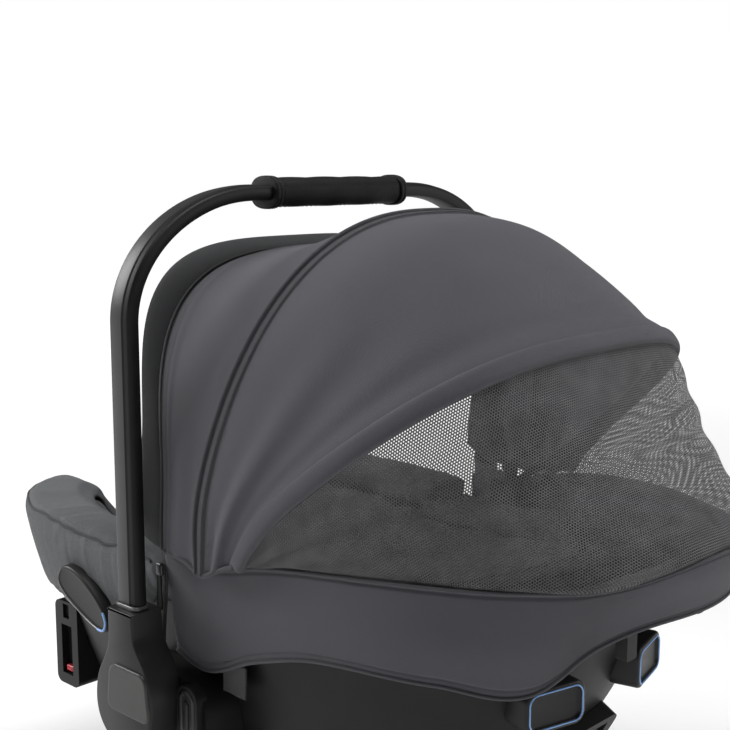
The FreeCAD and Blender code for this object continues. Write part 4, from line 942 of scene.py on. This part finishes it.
# faces of a tube outside some columns take a second material
def secondFinish(item, finish, columns, first, last):
    item.data.materials.append(finishes[finish])
    column = np.arange(len(item.data.polygons)) % columns
    index = ((column < first) | (column >= last)).astype(np.int32)
    item.data.polygons.foreach_set("material_index", index)


# the bent tube, black inside its curve, and a collar where each leg enters its hub
def addHandle():
    profile = handleSection()
    tube = tubePiece("carry_handle", handlePath(), profile, alongSeat)
    place(tube, "handleMetal", "handle", "handle_metal", "handle_tube")
    secondFinish(tube, "handleInner", len(profile), 8, 30)
    for name, hand in sides.items():
        path = [(hand * handle["span"], 0, handle["collar"] + level) for level in handle["collarRings"]]
        oval = roundProfile(*handle["collarHalves"], 5, 40)
        collar = tubePiece(f"handle_collar_{name}", np.array(path), oval, alongSeat, handle["collarScales"])
        place(collar, "collarMetal", "handle", "handle_metal")


# the grip: a laced sleeve that swells in the middle, and a band with two seams at each end
def addGrip():
    half = grip["half"]
    inside = half - grip["endRound"]
    x = np.concatenate([[half], np.linspace(inside, -inside, 90), [-half]])
    path = np.stack([x, np.zeros(len(x)), np.full(len(x), handle["top"])], -1)
    swell = 1 - 0.03 * (x / half) ** 2
    swell[[0, -1]] = grip["endShare"]
    sleeve = tubePiece("handle_grip_sleeve", path, roundProfile(*grip["halves"], 2.6, 48), alongSeat, swell)
    displaced(sleeve, lambda spots, normals: grip["grain"] * np.sin(spots[:, 0] * 160 + spots[:, 1] * 90))
    place(sleeve, "leather", "handle", "grip_leather", "handle_grip")
    lacing = path[2:-2] - (0, 0, grip["lacingDrop"])
    addStitches("grip_lacing", lacing, alongSeat, "lacing", "handle", "grip_leather")
    start = half + grip["gap"]
    along = np.linspace(0, 1, 26)
    scale = 0.93 + 0.10 * np.sqrt(np.clip(1 - (2 * along - 1) ** 6, 0, 1)) - 0.028 * bump(along, 0.5, 0.12)
    turn = np.linspace(0, 2 * np.pi, 90)
    for name, hand in sides.items():
        x = hand * (start + grip["bandLength"] * along)
        path = np.stack([x, np.zeros(26), np.full(26, handle["top"])], -1)
        profile = roundProfile(*grip["bandHalves"], 2.5, 48)
        band = tubePiece(f"grip_band_{name}", path, profile, alongSeat, scale)
        place(band, "leather", "handle", "grip_leather", *leftOnly(hand, "grip_bands"))
        for row, shift in grip["seams"].items():
            circle = np.stack([np.full(90, hand * (start + shift)),
                               grip["seamHalves"][0] * power(np.cos(turn), 0.8),
                               handle["top"] + grip["seamHalves"][1] * power(np.sin(turn), 0.8)], -1)
            addStitches(f"band_stitches_{row}_{name}", circle, acrossSeat, "band", "handle", "grip_leather")


# a plaque on one side of the seat: its place and the heights of its (inset, height) layers are mirrored by
# the hand, and its edges past an angle are sharp
def sidePlaque(name, outline, piece, hand, across=alongSeat, up=straightUp):
    layers = [(inset, height * hand) for inset, height in piece["layers"]]
    item = plaquePiece(name, outline, layers, np.array(piece["place"]) * (hand, 1, 1), across, up)
    return sharpen(item, piece["sharp"]) if "sharp" in piece else item


# plaques on the sides: layers of (inset, height), place on the left side, and the outline's half sizes with
# the radius of its corners; the hub's outline is points (along the seat, height) going round from the collar
hub = {"top": 0.2600, "sharp": 50, "place": (0.200, 0, 0),
       "layers": [(0.0, 0.0002), (0.0, 0.0255), (0.0004, 0.0270), (0.0012, 0.0279), (0.0020, 0.0282)],
       "outline": np.array([
           (-0.0155, 0.2700), (-0.0155, 0.2480), (-0.0158, 0.2320), (-0.0210, 0.2200), (-0.0310, 0.2050),
           (-0.0350, 0.1860), (-0.0325, 0.1700), (-0.0245, 0.1590), (-0.0130, 0.1510), (0.0000, 0.1490),
           (0.0130, 0.1510), (0.0245, 0.1580), (0.0325, 0.1690), (0.0360, 0.1850), (0.0375, 0.2000),
           (0.0300, 0.2220), (0.0175, 0.2360), (0.0155, 0.2480), (0.0155, 0.2700)])}
hubCover = {"halves": (0.0245, 0.0190, 0.0085), "taper": 0.10, "sharp": 60, "place": (0.228, 0.0095, 0.1985),
            "layers": [(0.0, 0.0), (0.0, 0.0012), (0.0005, 0.0019), (0.0014, 0.0022), (0.0030, 0.0021),
                       (0.0040, 0.0021)]}
sideButton = {"halves": (0.0089, 0.0249, 0.0088), "sharp": 60, "place": (0.1997, 0.050, 0.180),
              "layers": [(0.0, 0.0), (0.0, 0.0052), (0.0008, 0.0064), (0.0022, 0.0068), (0.0032, 0.0062),
                         (0.0042, 0.0062)]}
buttonStrip = {"halves": (0.0030, 0.0165, 0.0029), "place": (0.2058, 0.050, 0.180),
               "layers": [(0.0, 0.0), (0.0, 0.0009), (0.0007, 0.0013), (0.0020, 0.0014)]}


# a closed outline with its corners cut three times
def smoothOutline(points):
    for cut in range(3):
        after = np.roll(points, -1, axis=0)
        points = np.stack([0.75 * points + 0.25 * after, 0.25 * points + 0.75 * after], 1).reshape(-1, 2)
    return points


def addHubs():
    outline = smoothOutline(hub["outline"])
    outline[:, 1] = np.minimum(outline[:, 1], hub["top"])
    apart = np.linalg.norm(outline - np.roll(outline, 1, axis=0), axis=1) > 0.0001
    plate = roundedOutline(*hubCover["halves"], 10)
    plate[:, 0] *= 1 - hubCover["taper"] * plate[:, 1] / hubCover["halves"][1]
    pill = roundedOutline(*sideButton["halves"], 10)
    strip = roundedOutline(*buttonStrip["halves"], 8)
    for name, hand in sides.items():
        body = sidePlaque(f"handle_hub_{name}_body", outline[apart], hub, hand)
        place(body, "hubPlastic", "handle", "hub_plastic", f"handle_hub_{name}")
        cover = sidePlaque(f"hub_cover_{name}_plate", plate, hubCover, hand)
        place(cover, "coverPlastic", "handle", "cover_plate", f"hub_cover_{name}")
        button = sidePlaque(f"handle_button_{name}_cap", pill, sideButton, hand)
        place(button, "buttonPlastic", f"button_{name}", "button_plastic", f"handle_button_{name}")
        inner = sidePlaque(f"handle_button_{name}_strip", strip, buttonStrip, hand)
        place(inner, "hubPlastic", f"button_{name}", "button_plastic")


# belt guide: a leaf-shaped plaque that leans down towards the head, with a bright line along its lower edge;
# each line runs between two turns of the leaf
beltGuide = {"halves": (0.038, 0.0148), "taper": 0.16, "crown": 0.0025, "lean": 26, "sharp": 60,
             "place": (0.184, -0.097, 0.237), "lineInset": 0.93, "lineOut": 0.0127,
             "lines": {"blue": (5.55, 7.0, 0.0011, "bluePlastic"), "bright": (4.15, 5.5, 0.0005, "steel")},
             "layers": [(0.0, 0.0), (0.0, 0.0108), (0.0006, 0.0122), (0.0018, 0.0129), (0.0030, 0.0130),
                        (0.0036, 0.0125), (0.0042, 0.0124)]}
rearGuide = {"halves": (0.0275, 0.0165, 0.0095), "lineHalves": (0.0242, 0.0132, 0.0072), "lineOut": 0.0226,
             "turned": 14, "place": (0.056, 0.2600, 0.216),
             "layers": [(0.0, 0.0), (0.0, 0.0200), (0.0006, 0.0218), (0.0020, 0.0226), (0.0046, 0.0226),
                        (0.0054, 0.0206), (0.0060, 0.0204)]}


def addBeltGuides():
    lean = math.radians(beltGuide["lean"])
    across = (0, math.cos(lean), -math.sin(lean))
    up = (0, math.sin(lean), math.cos(lean))
    turn = np.linspace(0, 2 * np.pi, 96, endpoint=False)
    length, height = beltGuide["halves"]
    leaf = np.stack([length * power(np.cos(turn), 0.86), height * power(np.sin(turn), 0.78)], -1)
    leaf[:, 1] *= 1 - beltGuide["taper"] * leaf[:, 0] / length
    leaf[:, 1] += beltGuide["crown"] * (1 - (leaf[:, 0] / length) ** 2)
    for name, hand in sides.items():
        guide = sidePlaque(f"belt_guide_{name}_leaf", leaf, beltGuide, hand, across, up)
        place(guide, "hubPlastic", "shell", "hub_plastic", f"belt_guide_{name}")
        middle = np.array(beltGuide["place"]) * (hand, 1, 1)
        for kind, (first, last, half, finish) in beltGuide["lines"].items():
            part = np.linspace(first, last, 60) % (2 * np.pi)
            row = [np.interp(part, turn, leaf[:, k], period=2 * np.pi)[:, None] * beltGuide["lineInset"]
                   for k in (0, 1)]
            line = middle + row[0] * np.array(across) + row[1] * np.array(up)
            line = line + (beltGuide["lineOut"] * hand, 0, 0)
            addCord(f"belt_guide_{name}_{kind}", spaced(line, 90), (half, half), acrossSeat, finish, "shell",
                    "hub_plastic")


# rear guide: a rounded plate that faces the head end, turned outwards, with a blue line round its face
def addRearGuides():
    ring = roundedOutline(*rearGuide["lineHalves"], 10)
    ring = np.concatenate([ring, ring[:1]])
    plateOutline = roundedOutline(*rearGuide["halves"], 10)
    for name, hand in sides.items():
        turned = math.radians(rearGuide["turned"]) * hand
        facing = np.array((math.sin(turned), math.cos(turned), 0))
        sideways = np.array((math.cos(turned), -math.sin(turned), 0))
        spot = np.array(rearGuide["place"]) * (hand, 1, 1)
        layers = [(inset, -height) for inset, height in rearGuide["layers"]]
        plate = plaquePiece(f"rear_guide_{name}_plate", plateOutline, layers, spot, sideways, straightUp)
        place(sharpen(plate, 50), "hubPlastic", "shell", "hub_plastic", *leftOnly(hand, "rear_belt_guides"))
        centre = spot + facing * rearGuide["lineOut"]
        loop = centre + ring[:, :1] * sideways + ring[:, 1:] * np.array(straightUp)
        addCord(f"rear_guide_{name}_line", spaced(loop, 160), (0.0009, 0.0006), tuple(facing), "bluePlastic",
                "shell", "hub_plastic")


# zip: a tape down the side, two rows of teeth and a slider with a flat pull
zipTape = {"side": 0.1892, "low": 0.2270, "high": 0.2935, "heights": (0.225, 0.240, 0.262, 0.279, 0.295),
           "places": (0.0015, 0.0030, 0.0055, 0.0070, 0.0078), "toothOut": 0.0009,
           "rows": {"front": -0.0009, "rear": 0.0009}}
slider = {"halves": (0.0036, 0.0050, 0.0018), "sharp": 50, "place": (0.1918, 0.0053, 0.286),
          "layers": [(0.0006, 0.0), (0.0, 0.0006), (0.0, 0.0022), (0.0008, 0.0030), (0.0020, 0.0031)]}
pullTab = {"halves": (0.0028, 0.0148, 0.0026), "taper": 0.25, "sharp": 50, "place": (0.1930, 0.0053, 0.2680),
           "layers": [(0.0003, 0.0), (0.0, 0.0004), (0.0, 0.0012), (0.0005, 0.0016), (0.0012, 0.0013),
                      (0.002, 0.0013)]}


def addZips():
    z = np.linspace(zipTape["low"], zipTape["high"], 60)
    y = curveThrough(z, zipTape["heights"], zipTape["places"])
    box = roundedOutline(*slider["halves"], 6)
    tab = roundedOutline(*pullTab["halves"], 8)
    tab[:, 0] *= 1 - pullTab["taper"] * tab[:, 1] / pullTab["halves"][1]
    for name, hand in sides.items():
        path = np.stack([np.full(60, zipTape["side"] * hand), y, z], -1)
        tape = tubePiece(f"zip_{name}_tape", path, roundProfile(0.0030, 0.0008, 4, 20), alongSeat)
        place(tape, "webbing", "shell", "canopy_fabric", f"zip_{name}")
        for row, shift in zipTape["rows"].items():
            line = path + (zipTape["toothOut"] * hand, shift, 0)
            addStitches(f"zip_{name}_teeth_{row}", line, alongSeat, "teeth", "shell", "steel", "zipMetal")
        body = sidePlaque(f"zip_slider_{name}", box, slider, hand)
        place(body, "zipMetal", f"zipper_{name}", "steel", f"zip_puller_{name}")
        place(sidePlaque(f"zip_pull_{name}", tab, pullTab, hand), "rubber", f"zipper_{name}", "steel")


# tag: a blank folded strip of cloth that hangs from the skirt's hem
tag = {"half": 0.013, "drop": 0.024, "thick": 0.0011, "place": (0.1806, 0.077, 0.226), "ripple": 0.0007,
       "lean": 0.0006}


def addTag():
    y = np.linspace(-tag["half"], tag["half"], 24)
    z = np.linspace(0.0, tag["drop"], 22)
    rows, columns = np.meshgrid(z, y, indexing="ij")
    ripple = tag["ripple"] * np.sin(columns * 190) * rows / tag["drop"]
    x = tag["place"][0] + ripple + tag["lean"] * (rows / tag["drop"]) ** 2
    points = np.stack([x, tag["place"][1] + columns, tag["place"][2] - rows], -1)
    item = modified(gridPiece("skirt_tag_cloth", points), "SOLIDIFY", thickness=tag["thick"], offset=0)
    place(item, "webbing", "shell", "webbing", "skirt_tag")


# indicator tab: a small wedge low in each adapter socket's slot
indicator = {"halves": (0.0066, 0.0027, 0.0010), "sharp": 50, "place": (0.1510, -0.1805, 0.1418),
             "layers": [(0.0, 0.0), (0.0, 0.0042), (0.0006, 0.0052), (0.0014, 0.0054)]}


def addIndicators():
    shape = roundedOutline(*indicator["halves"], 5)
    for name, hand in sides.items():
        tab = sidePlaque(f"indicator_{name}_tab", shape, indicator, hand)
        place(tab, "redPlastic", "shell", "red_plastic", *leftOnly(hand, "indicator_tabs"))


addHandle()
addGrip()
addHubs()
addBeltGuides()
addRearGuides()
addZips()
addTag()
addIndicators()
print("handle and trim made")


# soft pieces: a CAD solid is rebuilt in even squares, puffed up like a filled cover and wrinkled

soft = {
    "foot": {"cover": {"cell": 0.0046, "cap": 0.0045, "pressure": 4.0}, "fill": 0.75, "fine": 0.0011,
             "broad": 0.0009, "piping": 0.0013},
    "seat": {"cover": {"cell": 0.0060, "cap": 0.0045, "pressure": 3.0}, "fill": 0.6, "channel": 0.0026,
             "pitch": 0.070, "seam": 0.0022, "hollow": 0.0035, "crease": 0.0008},
    "pillow": {"cover": {"cell": 0.0050, "cap": 0.0070, "pressure": 4.0}, "fill": 0.8, "channel": 0.0022,
               "crease": 0.0009},
    "chest": {"cover": {"cell": 0.0030, "cap": 0.0020, "pressure": 2.0}, "fill": 0.6, "crease": 0.0004},
}
cloth = {"mass": 0.3, "stiffness": 25, "bending": 0.4, "steps": 20}


# each vertex's move from where it was is cut back to a limit
def limited(item, before, cap):
    move = vertexArray(item.data) - before
    length = np.linalg.norm(move, axis=-1, keepdims=True)
    spots = before + move * np.minimum(1, cap / np.maximum(length, 1e-9))
    item.data.vertices.foreach_set("co", spots.astype(np.float32).ravel())
    item.data.update()


# a CAD solid as a cover of even squares, blown up by a cloth simulation and smoothed
def puffed(node, cell, cap, pressure):
    name = node + "_cover"
    source = frame["nodes"][node]
    item = bpy.data.objects.new(name, source.data.copy())
    item.data.transform(source.matrix_world)
    bpy.context.scene.collection.objects.link(item)
    modified(item, "WELD", merge_threshold=0.00005)
    modified(item, "REMESH", mode="VOXEL", voxel_size=cell)
    modified(item, "SMOOTH", factor=0.5, iterations=3)
    bakedModifiers(item)
    before = vertexArray(item.data)
    modified(item, "CLOTH")
    settings, cache = item.modifiers["cloth"].settings, item.modifiers["cloth"].point_cache
    settings.use_pressure = True
    settings.uniform_pressure_force = pressure
    settings.mass = cloth["mass"]
    settings.tension_stiffness = settings.compression_stiffness = cloth["stiffness"]
    settings.bending_stiffness = cloth["bending"]
    settings.effector_weights.gravity = 0
    cache.frame_start, cache.frame_end = 1, cloth["steps"]
    for step in range(1, cloth["steps"] + 1):
        bpy.context.scene.frame_set(step)
    bakedModifiers(item)
    limited(item, before, cap)
    bpy.context.scene.frame_set(1)
    modified(item, "SMOOTH", factor=0.5, iterations=2)
    modified(item, "SUBSURF", levels=1, render_levels=1)
    bakedModifiers(item)
    item.data.shade_smooth()
    print(name, "puffed")
    return item


# wrinkles: ridges across a direction that wander, the sum of three sines of one phase
def wrinkles(spots, direction, spacing, wander):
    along = spots @ np.asarray(direction, float)
    x, y, z = spots.T
    drift = wander * (np.sin(y * 41 + z * 23) + np.sin(x * 37 - y * 19))
    phase = 2 * np.pi * along / spacing + drift
    return 0.5 * np.sin(phase) + 0.3 * np.sin(1.7 * phase + 1.3) + 0.2 * np.sin(2.9 * phase + 4.0)


# line along the outer top edge of a soft piece: in each narrow wedge round a middle, the vertex that lies
# furthest out and up; the line is then smoothed
def crestLine(spots, middle, angles, rise):
    flat = spots[:, :2] - middle
    way = np.arctan2(flat[:, 1], flat[:, 0])
    score = np.linalg.norm(flat, axis=1) + rise * spots[:, 2]
    near = np.abs(way[None] - angles[:, None]) < 0.02
    found = np.where(near, score[None], -1.0)
    line = spots[np.argmax(found, axis=1)][np.any(near, axis=1)]
    line = line[line[:, 1] < -0.012]
    weights = np.hanning(9) / np.hanning(9).sum()
    padded = np.pad(line, ((4, 4), (0, 0)), mode="edge")
    return np.stack([np.convolve(padded[:, k], weights, "valid") for k in range(3)], -1)


# the foot cushion: fine wrinkles run down its wings, broad ones cross it, and piping follows its upper edge
def addFootCushion():
    values = soft["foot"]
    item = puffed("foot_cushion", **values["cover"])

    def amount(spots, normals):
        top = softStep(normals[:, 2], 0.2, 0.8)
        wing = softStep(np.abs(spots[:, 0]), 0.09, 0.14)
        flank = (1 - top) * softStep(np.abs(normals[:, 0]) + np.abs(normals[:, 1]), 0.5, 0.9)
        fine = wrinkles(spots, (0.2, 1.0, 0.3), 0.021, 1.6) * softStep(spots[:, 1], -0.30, -0.02)
        broad = wrinkles(spots, (0.9, 0.7, 0.4), 0.060, 1.1)
        return (values["fine"] * fine * wing * (0.35 + 0.65 * flank)
                + values["broad"] * broad * (0.3 + 0.7 * top))

    displaced(item, amount)
    place(item, "seatCloth", "shell", "seat_fabric", "foot_cushion")
    crest = crestLine(vertexArray(item.data), (0, 0.02), np.linspace(-np.pi, 0, 260), 0.9)
    halves = (values["piping"], values["piping"])
    addCord("foot_cushion_piping", spaced(crest, 300), halves, straightUp, "thread", "shell", "seat_fabric")


# the seat pad is quilted in channels along and across it, creased, and hollow under the head pillow
def addSeatPad():
    values = soft["seat"]
    item = puffed("seat_pad", **values["cover"])

    def amount(spots, normals):
        along = spots[:, 1] + 0.6 * spots[:, 2]
        channel = -values["channel"] * bump(along % values["pitch"], values["pitch"] / 2, 0.006)
        seam = -values["seam"] * (bump(np.abs(spots[:, 0]), 0.082, 0.005) + bump(spots[:, 0], 0.0, 0.004))
        inside = softStep(normals @ np.array(straightUp), 0.1, 0.5)
        under = softStep(spots[:, 1], 0.09, 0.13) * (1 - softStep(np.abs(spots[:, 0]), 0.10, 0.13)) * inside
        crease = values["crease"] * wrinkles(spots, (1, 0.4, 0.2), 0.05, 1.2)
        return (channel + seam) * inside - values["hollow"] * under + crease

    displaced(item, amount)
    place(item, "liningCloth", "shell", "seat_fabric", "seat_pad")


# the pillow has a channel down each side of its face; the chest pads are finely wrinkled
def addPillowAndPads():
    values, chest = soft["pillow"], soft["chest"]

    def pillowLift(spots, normals):
        channel = values["channel"] * bump(np.abs(spots[:, 0]), 0.066, 0.004)
        channel = channel * softStep(normals[:, 2], 0, 0.4)
        return values["crease"] * wrinkles(spots, (0.7, 0.5, 0.6), 0.045, 1.4) - channel

    def padLift(spots, normals):
        return chest["crease"] * wrinkles(spots, (0.1, 0.5, 0.9), 0.018, 1.0)

    item = displaced(puffed("head_pillow", **values["cover"]), pillowLift)
    place(item, "seatCloth", "pillow", "seat_fabric", "head_pillow")
    for name in sides:
        pad = displaced(puffed(f"chest_pad_{name}", **chest["cover"]), padLift)
        place(pad, "liningCloth", "shell", "seat_fabric", f"chest_pad_{name}")


# the shell and the bowl as rings that change with height: sizes are the half width, the reach to the foot
# and to the head, and the middle; each law's rows are the share of the height and the shares of three sizes
levels = {"top": 0.345, "bowlFloor": 0.078}
shellForm = {"sizes": (0.188, 0.322, 0.345, 0.020), "squareness": (3.4, 2.5),
             "law": np.array([(0.087, 0.68, 0.385, 0.43), (0.17, 0.75, 0.47, 0.54), (0.38, 0.84, 0.64, 0.66),
                              (0.58, 0.905, 0.80, 0.77), (0.74, 0.957, 0.90, 0.83),
                              (0.87, 0.985, 0.96, 0.905), (1, 1, 1, 1)])}
bowlForm = {"sizes": (0.150, 0.280, 0.290, 0.005), "squareness": (2.8, 2.6),
            "law": np.array([(0, 0.63, 0.22, 0.17), (0.12, 0.79, 0.44, 0.32), (0.31, 0.89, 0.67, 0.52),
                             (0.53, 0.95, 0.85, 0.71), (0.76, 0.98, 0.95, 0.86), (1, 1, 1, 1)])}


# a superellipse ring at a height: x from the cosine, y from the sine, boxier towards the foot
def ringPoint(form, share, z, turn, inset):
    halfWidth, footReach, headReach, middle = form["sizes"]
    wide, foot, head = (curveThrough(share, form["law"][:, 0], form["law"][:, k]) for k in (1, 2, 3))
    rear = np.sin(turn) > 0
    square = np.where(rear, form["squareness"][1], form["squareness"][0])
    reach = np.where(rear, head * headReach - inset - middle, foot * footReach - inset + middle)
    return np.stack([(wide * halfWidth - inset) * power(np.cos(turn), 2 / square),
                     middle + reach * power(np.sin(turn), 2 / square), z], -1)


# height of the rim against the place along the seat
def rimHeight(y):
    return curveThrough(y, (-0.1, 0.1035, 0.200, 0.345), (0.272, 0.272, 0.2918, 0.338))


# ring of the shell or of the bowl where the rim's side line crosses it, settled in a few rounds
def rimRing(form, floor, turn, inset):
    z = np.full(turn.shape, 0.28)
    for settle in range(10):
        spots = ringPoint(form, (z - floor) / (levels["top"] - floor), z, turn, inset)
        z = rimHeight(spots[..., 1])
    spots[..., 2] = z
    return spots


# rim cover: a padded band laid over the edges of the shell, the foam and the pad, round the head end; it is
# narrower round the head, where the pillow rises past it
rimCover = {"inset": 0.016, "headInset": 0.0175, "outset": 0.0012, "crown": 0.0060, "drop": 0.012,
            "thick": 0.0012, "ripple": 0.0006, "underside": 0.0004, "fill": 0.4}


def addRimCover():
    turn = np.linspace(-0.02, np.pi + 0.02, 260)
    inset = rimCover["inset"] - rimCover["headInset"] * softStep(np.sin(turn), 0.55, 0.92)
    inner = rimRing(bowlForm, levels["bowlFloor"], turn, inset)
    outer = rimRing(shellForm, 0.0, turn, -rimCover["outset"])
    around = np.linspace(0, 1, 26)[:, None]
    flat = inner[None] + (outer - inner)[None] * (0.5 - 0.5 * np.cos(np.pi * around[..., None]))
    crown = rimCover["crown"] * np.sin(np.pi * around) ** 0.6 + rimCover["thick"]
    drop = rimCover["drop"] * (softStep(around, 0.90, 1.0) + softStep(around, 0.10, 0.0))
    top = flat.copy()
    top[..., 2] += crown - drop + rimCover["ripple"] * np.sin(turn * 46)[None] * np.sin(np.pi * around)
    bottom = flat[::-1].copy()
    bottom[..., 2] += rimCover["underside"] - drop[::-1]
    points = np.concatenate([top, bottom[1:-1]]).transpose(1, 0, 2)
    item = outward(gridPiece("rim_cover", points, wrap=True, caps=True))
    place(item, "liningCloth", "shell", "seat_fabric")
    addCord("rim_cover_seam", spaced(top[13], 300), (0.0011, 0.0009), straightUp, "edgeCloth", "shell",
            "seat_fabric", 16)


# webbing: a flat woven strip carried along a route, with a thicker edge at each side
def addWebbing(name, route, half, thick, side, *nodes):
    route = np.asarray(route, float)
    t = np.linspace(0, 1, 90)
    knots = runLength(route, 0)
    path = np.stack([curveThrough(t * knots[-1], tuple(knots), tuple(route[:, k])) for k in range(3)], -1)
    s = np.linspace(-1, 1, 14)
    edge = thick / 2 * (1 + 0.25 * bump(np.abs(s), 0.9, 0.06)) * np.sqrt(np.clip(1.02 - s ** 12, 0.1, 1))
    profile = np.concatenate([np.stack([s * half, edge], -1), np.stack([s[::-1] * half, -edge], -1)])
    return place(sharpen(tubePiece(name, path, profile, side), 60), "webbing", "shell", "webbing", *nodes)


# routes in millimetres, (along the seat, height); the hip and crotch straps fit the boxes of their CAD pieces
harness = {"shoulder": [(166.2, 196), (149.4, 178), (132.3, 160), (111.7, 142), (84.0, 122.6), (48, 100.6),
                        (10, 116.6), (-38.4, 168), (-48, 184.4)],
           "adjuster": [(-129.3, 125), (-153.4, 144), (-176.6, 163), (-192.9, 182), (-209.2, 201)],
           "shoulderHalf": 0.0140, "adjusterHalf": 0.0130, "apart": 0.026, "thick": 0.0018,
           "crotchThick": 0.0027, "hipStart": 0.0405, "hipPlace": 0.010, "hipSag": 0.002}


def addHarness():
    for name, hand in sides.items():
        route = [(harness["apart"] * hand, y / 1000, z / 1000) for y, z in harness["shoulder"]]
        strap = f"shoulder_strap_{name}"
        addWebbing(strap + "_web", route, harness["shoulderHalf"], harness["thick"], acrossSeat, strap)
    route = [(0, y / 1000, z / 1000) for y, z in harness["adjuster"]]
    addWebbing("adjuster_strap_web", route, harness["adjusterHalf"], harness["thick"], acrossSeat,
               "adjuster_strap")
    low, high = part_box("hip_straps")
    reach = max(abs(low[0]), abs(high[0]))
    for name, hand in sides.items():
        level = (low[2] + high[2]) / 2
        route = [(hand * x, harness["hipPlace"] + harness["hipSag"] * math.sin(40 * x), level)
                 for x in np.linspace(harness["hipStart"], reach, 8)]
        addWebbing(f"hip_strap_{name}_web", route, (high[2] - low[2]) / 2, harness["thick"], straightUp,
                   *leftOnly(hand, "hip_straps"))
    low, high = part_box("crotch_strap")
    route = [(0, (low[1] + high[1]) / 2, z) for z in np.linspace(low[2], high[2], 6)]
    addWebbing("crotch_strap_web", route, (high[0] - low[0]) / 2, harness["crotchThick"], acrossSeat,
               "crotch_strap")


addFootCushion()
addSeatPad()
addPillowAndPads()
addRimCover()
addHarness()
print("soft pieces made")


# CAD pieces that stay as they are, each in its own finish

plain = {
    "shellPlastic": ["shell_tub", "base_frame", "release_housing", "pivot_housing_left",
                     "pivot_housing_right", "adapter_socket_left", "adapter_socket_right", "skirt_hook"],
    "hubPlastic": ["rear_bow", "middle_bow", "front_bow", "canopy_bracket_left", "canopy_bracket_right",
                   "buckle_housing", "adjuster_housing"],
    "buttonPlastic": ["release_lever"],
    "redPlastic": ["buckle_button"],
    "coverPlastic": ["adjuster_button"],
    "steel": ["latch_bars", "base_screws", "pivot_pin_left", "pivot_pin_right", "buckle_tongues"],
    "rubber": ["grip_strips"],
    "beadFoam": ["foam_liner"],
}
for finish, names in plain.items():
    for name in names:
        node = frame["nodes"][name]
        if not node.material_slots:
            node.data.materials.append(finishes[finish])
        for materialSlot in node.material_slots:
            materialSlot.material = finishes[finish]
print("CAD pieces dressed")


# the floor glows more the further it lies from the part, so that it runs into the white behind
floorSetup = {"half": 9, "tone": 0.93, "glowFrom": 0.9, "glowTo": 3.0, "glowLow": 0.12, "glowHigh": 0.95}


def addFloor(setup):
    half = setup["half"]
    corners = [(-half, -half, 0), (half, -half, 0), (half, half, 0), (-half, half, 0)]
    floor = newPiece("floor", corners, [[0, 1, 2, 3]])
    material, tree, shader, place = startMaterial("floorPaint", "Object", Roughness=0.9)
    shader.inputs["Base Color"].default_value = (setup["tone"], setup["tone"], setup["tone"], 1)
    shader.inputs["Emission Color"].default_value = (1, 1, 1, 1)
    fromMiddle = addNode(tree, "VectorMath", {0: place}, operation="LENGTH").outputs["Value"]
    glow = addNode(tree, "MapRange", {"Value": fromMiddle, "From Min": setup["glowFrom"],
                                      "From Max": setup["glowTo"], "To Min": setup["glowLow"],
                                      "To Max": setup["glowHigh"]})
    tree.links.new(glow.outputs["Result"], shader.inputs["Emission Strength"])
    floor.data.materials.append(material)


addFloor(floorSetup)
print("floor laid")
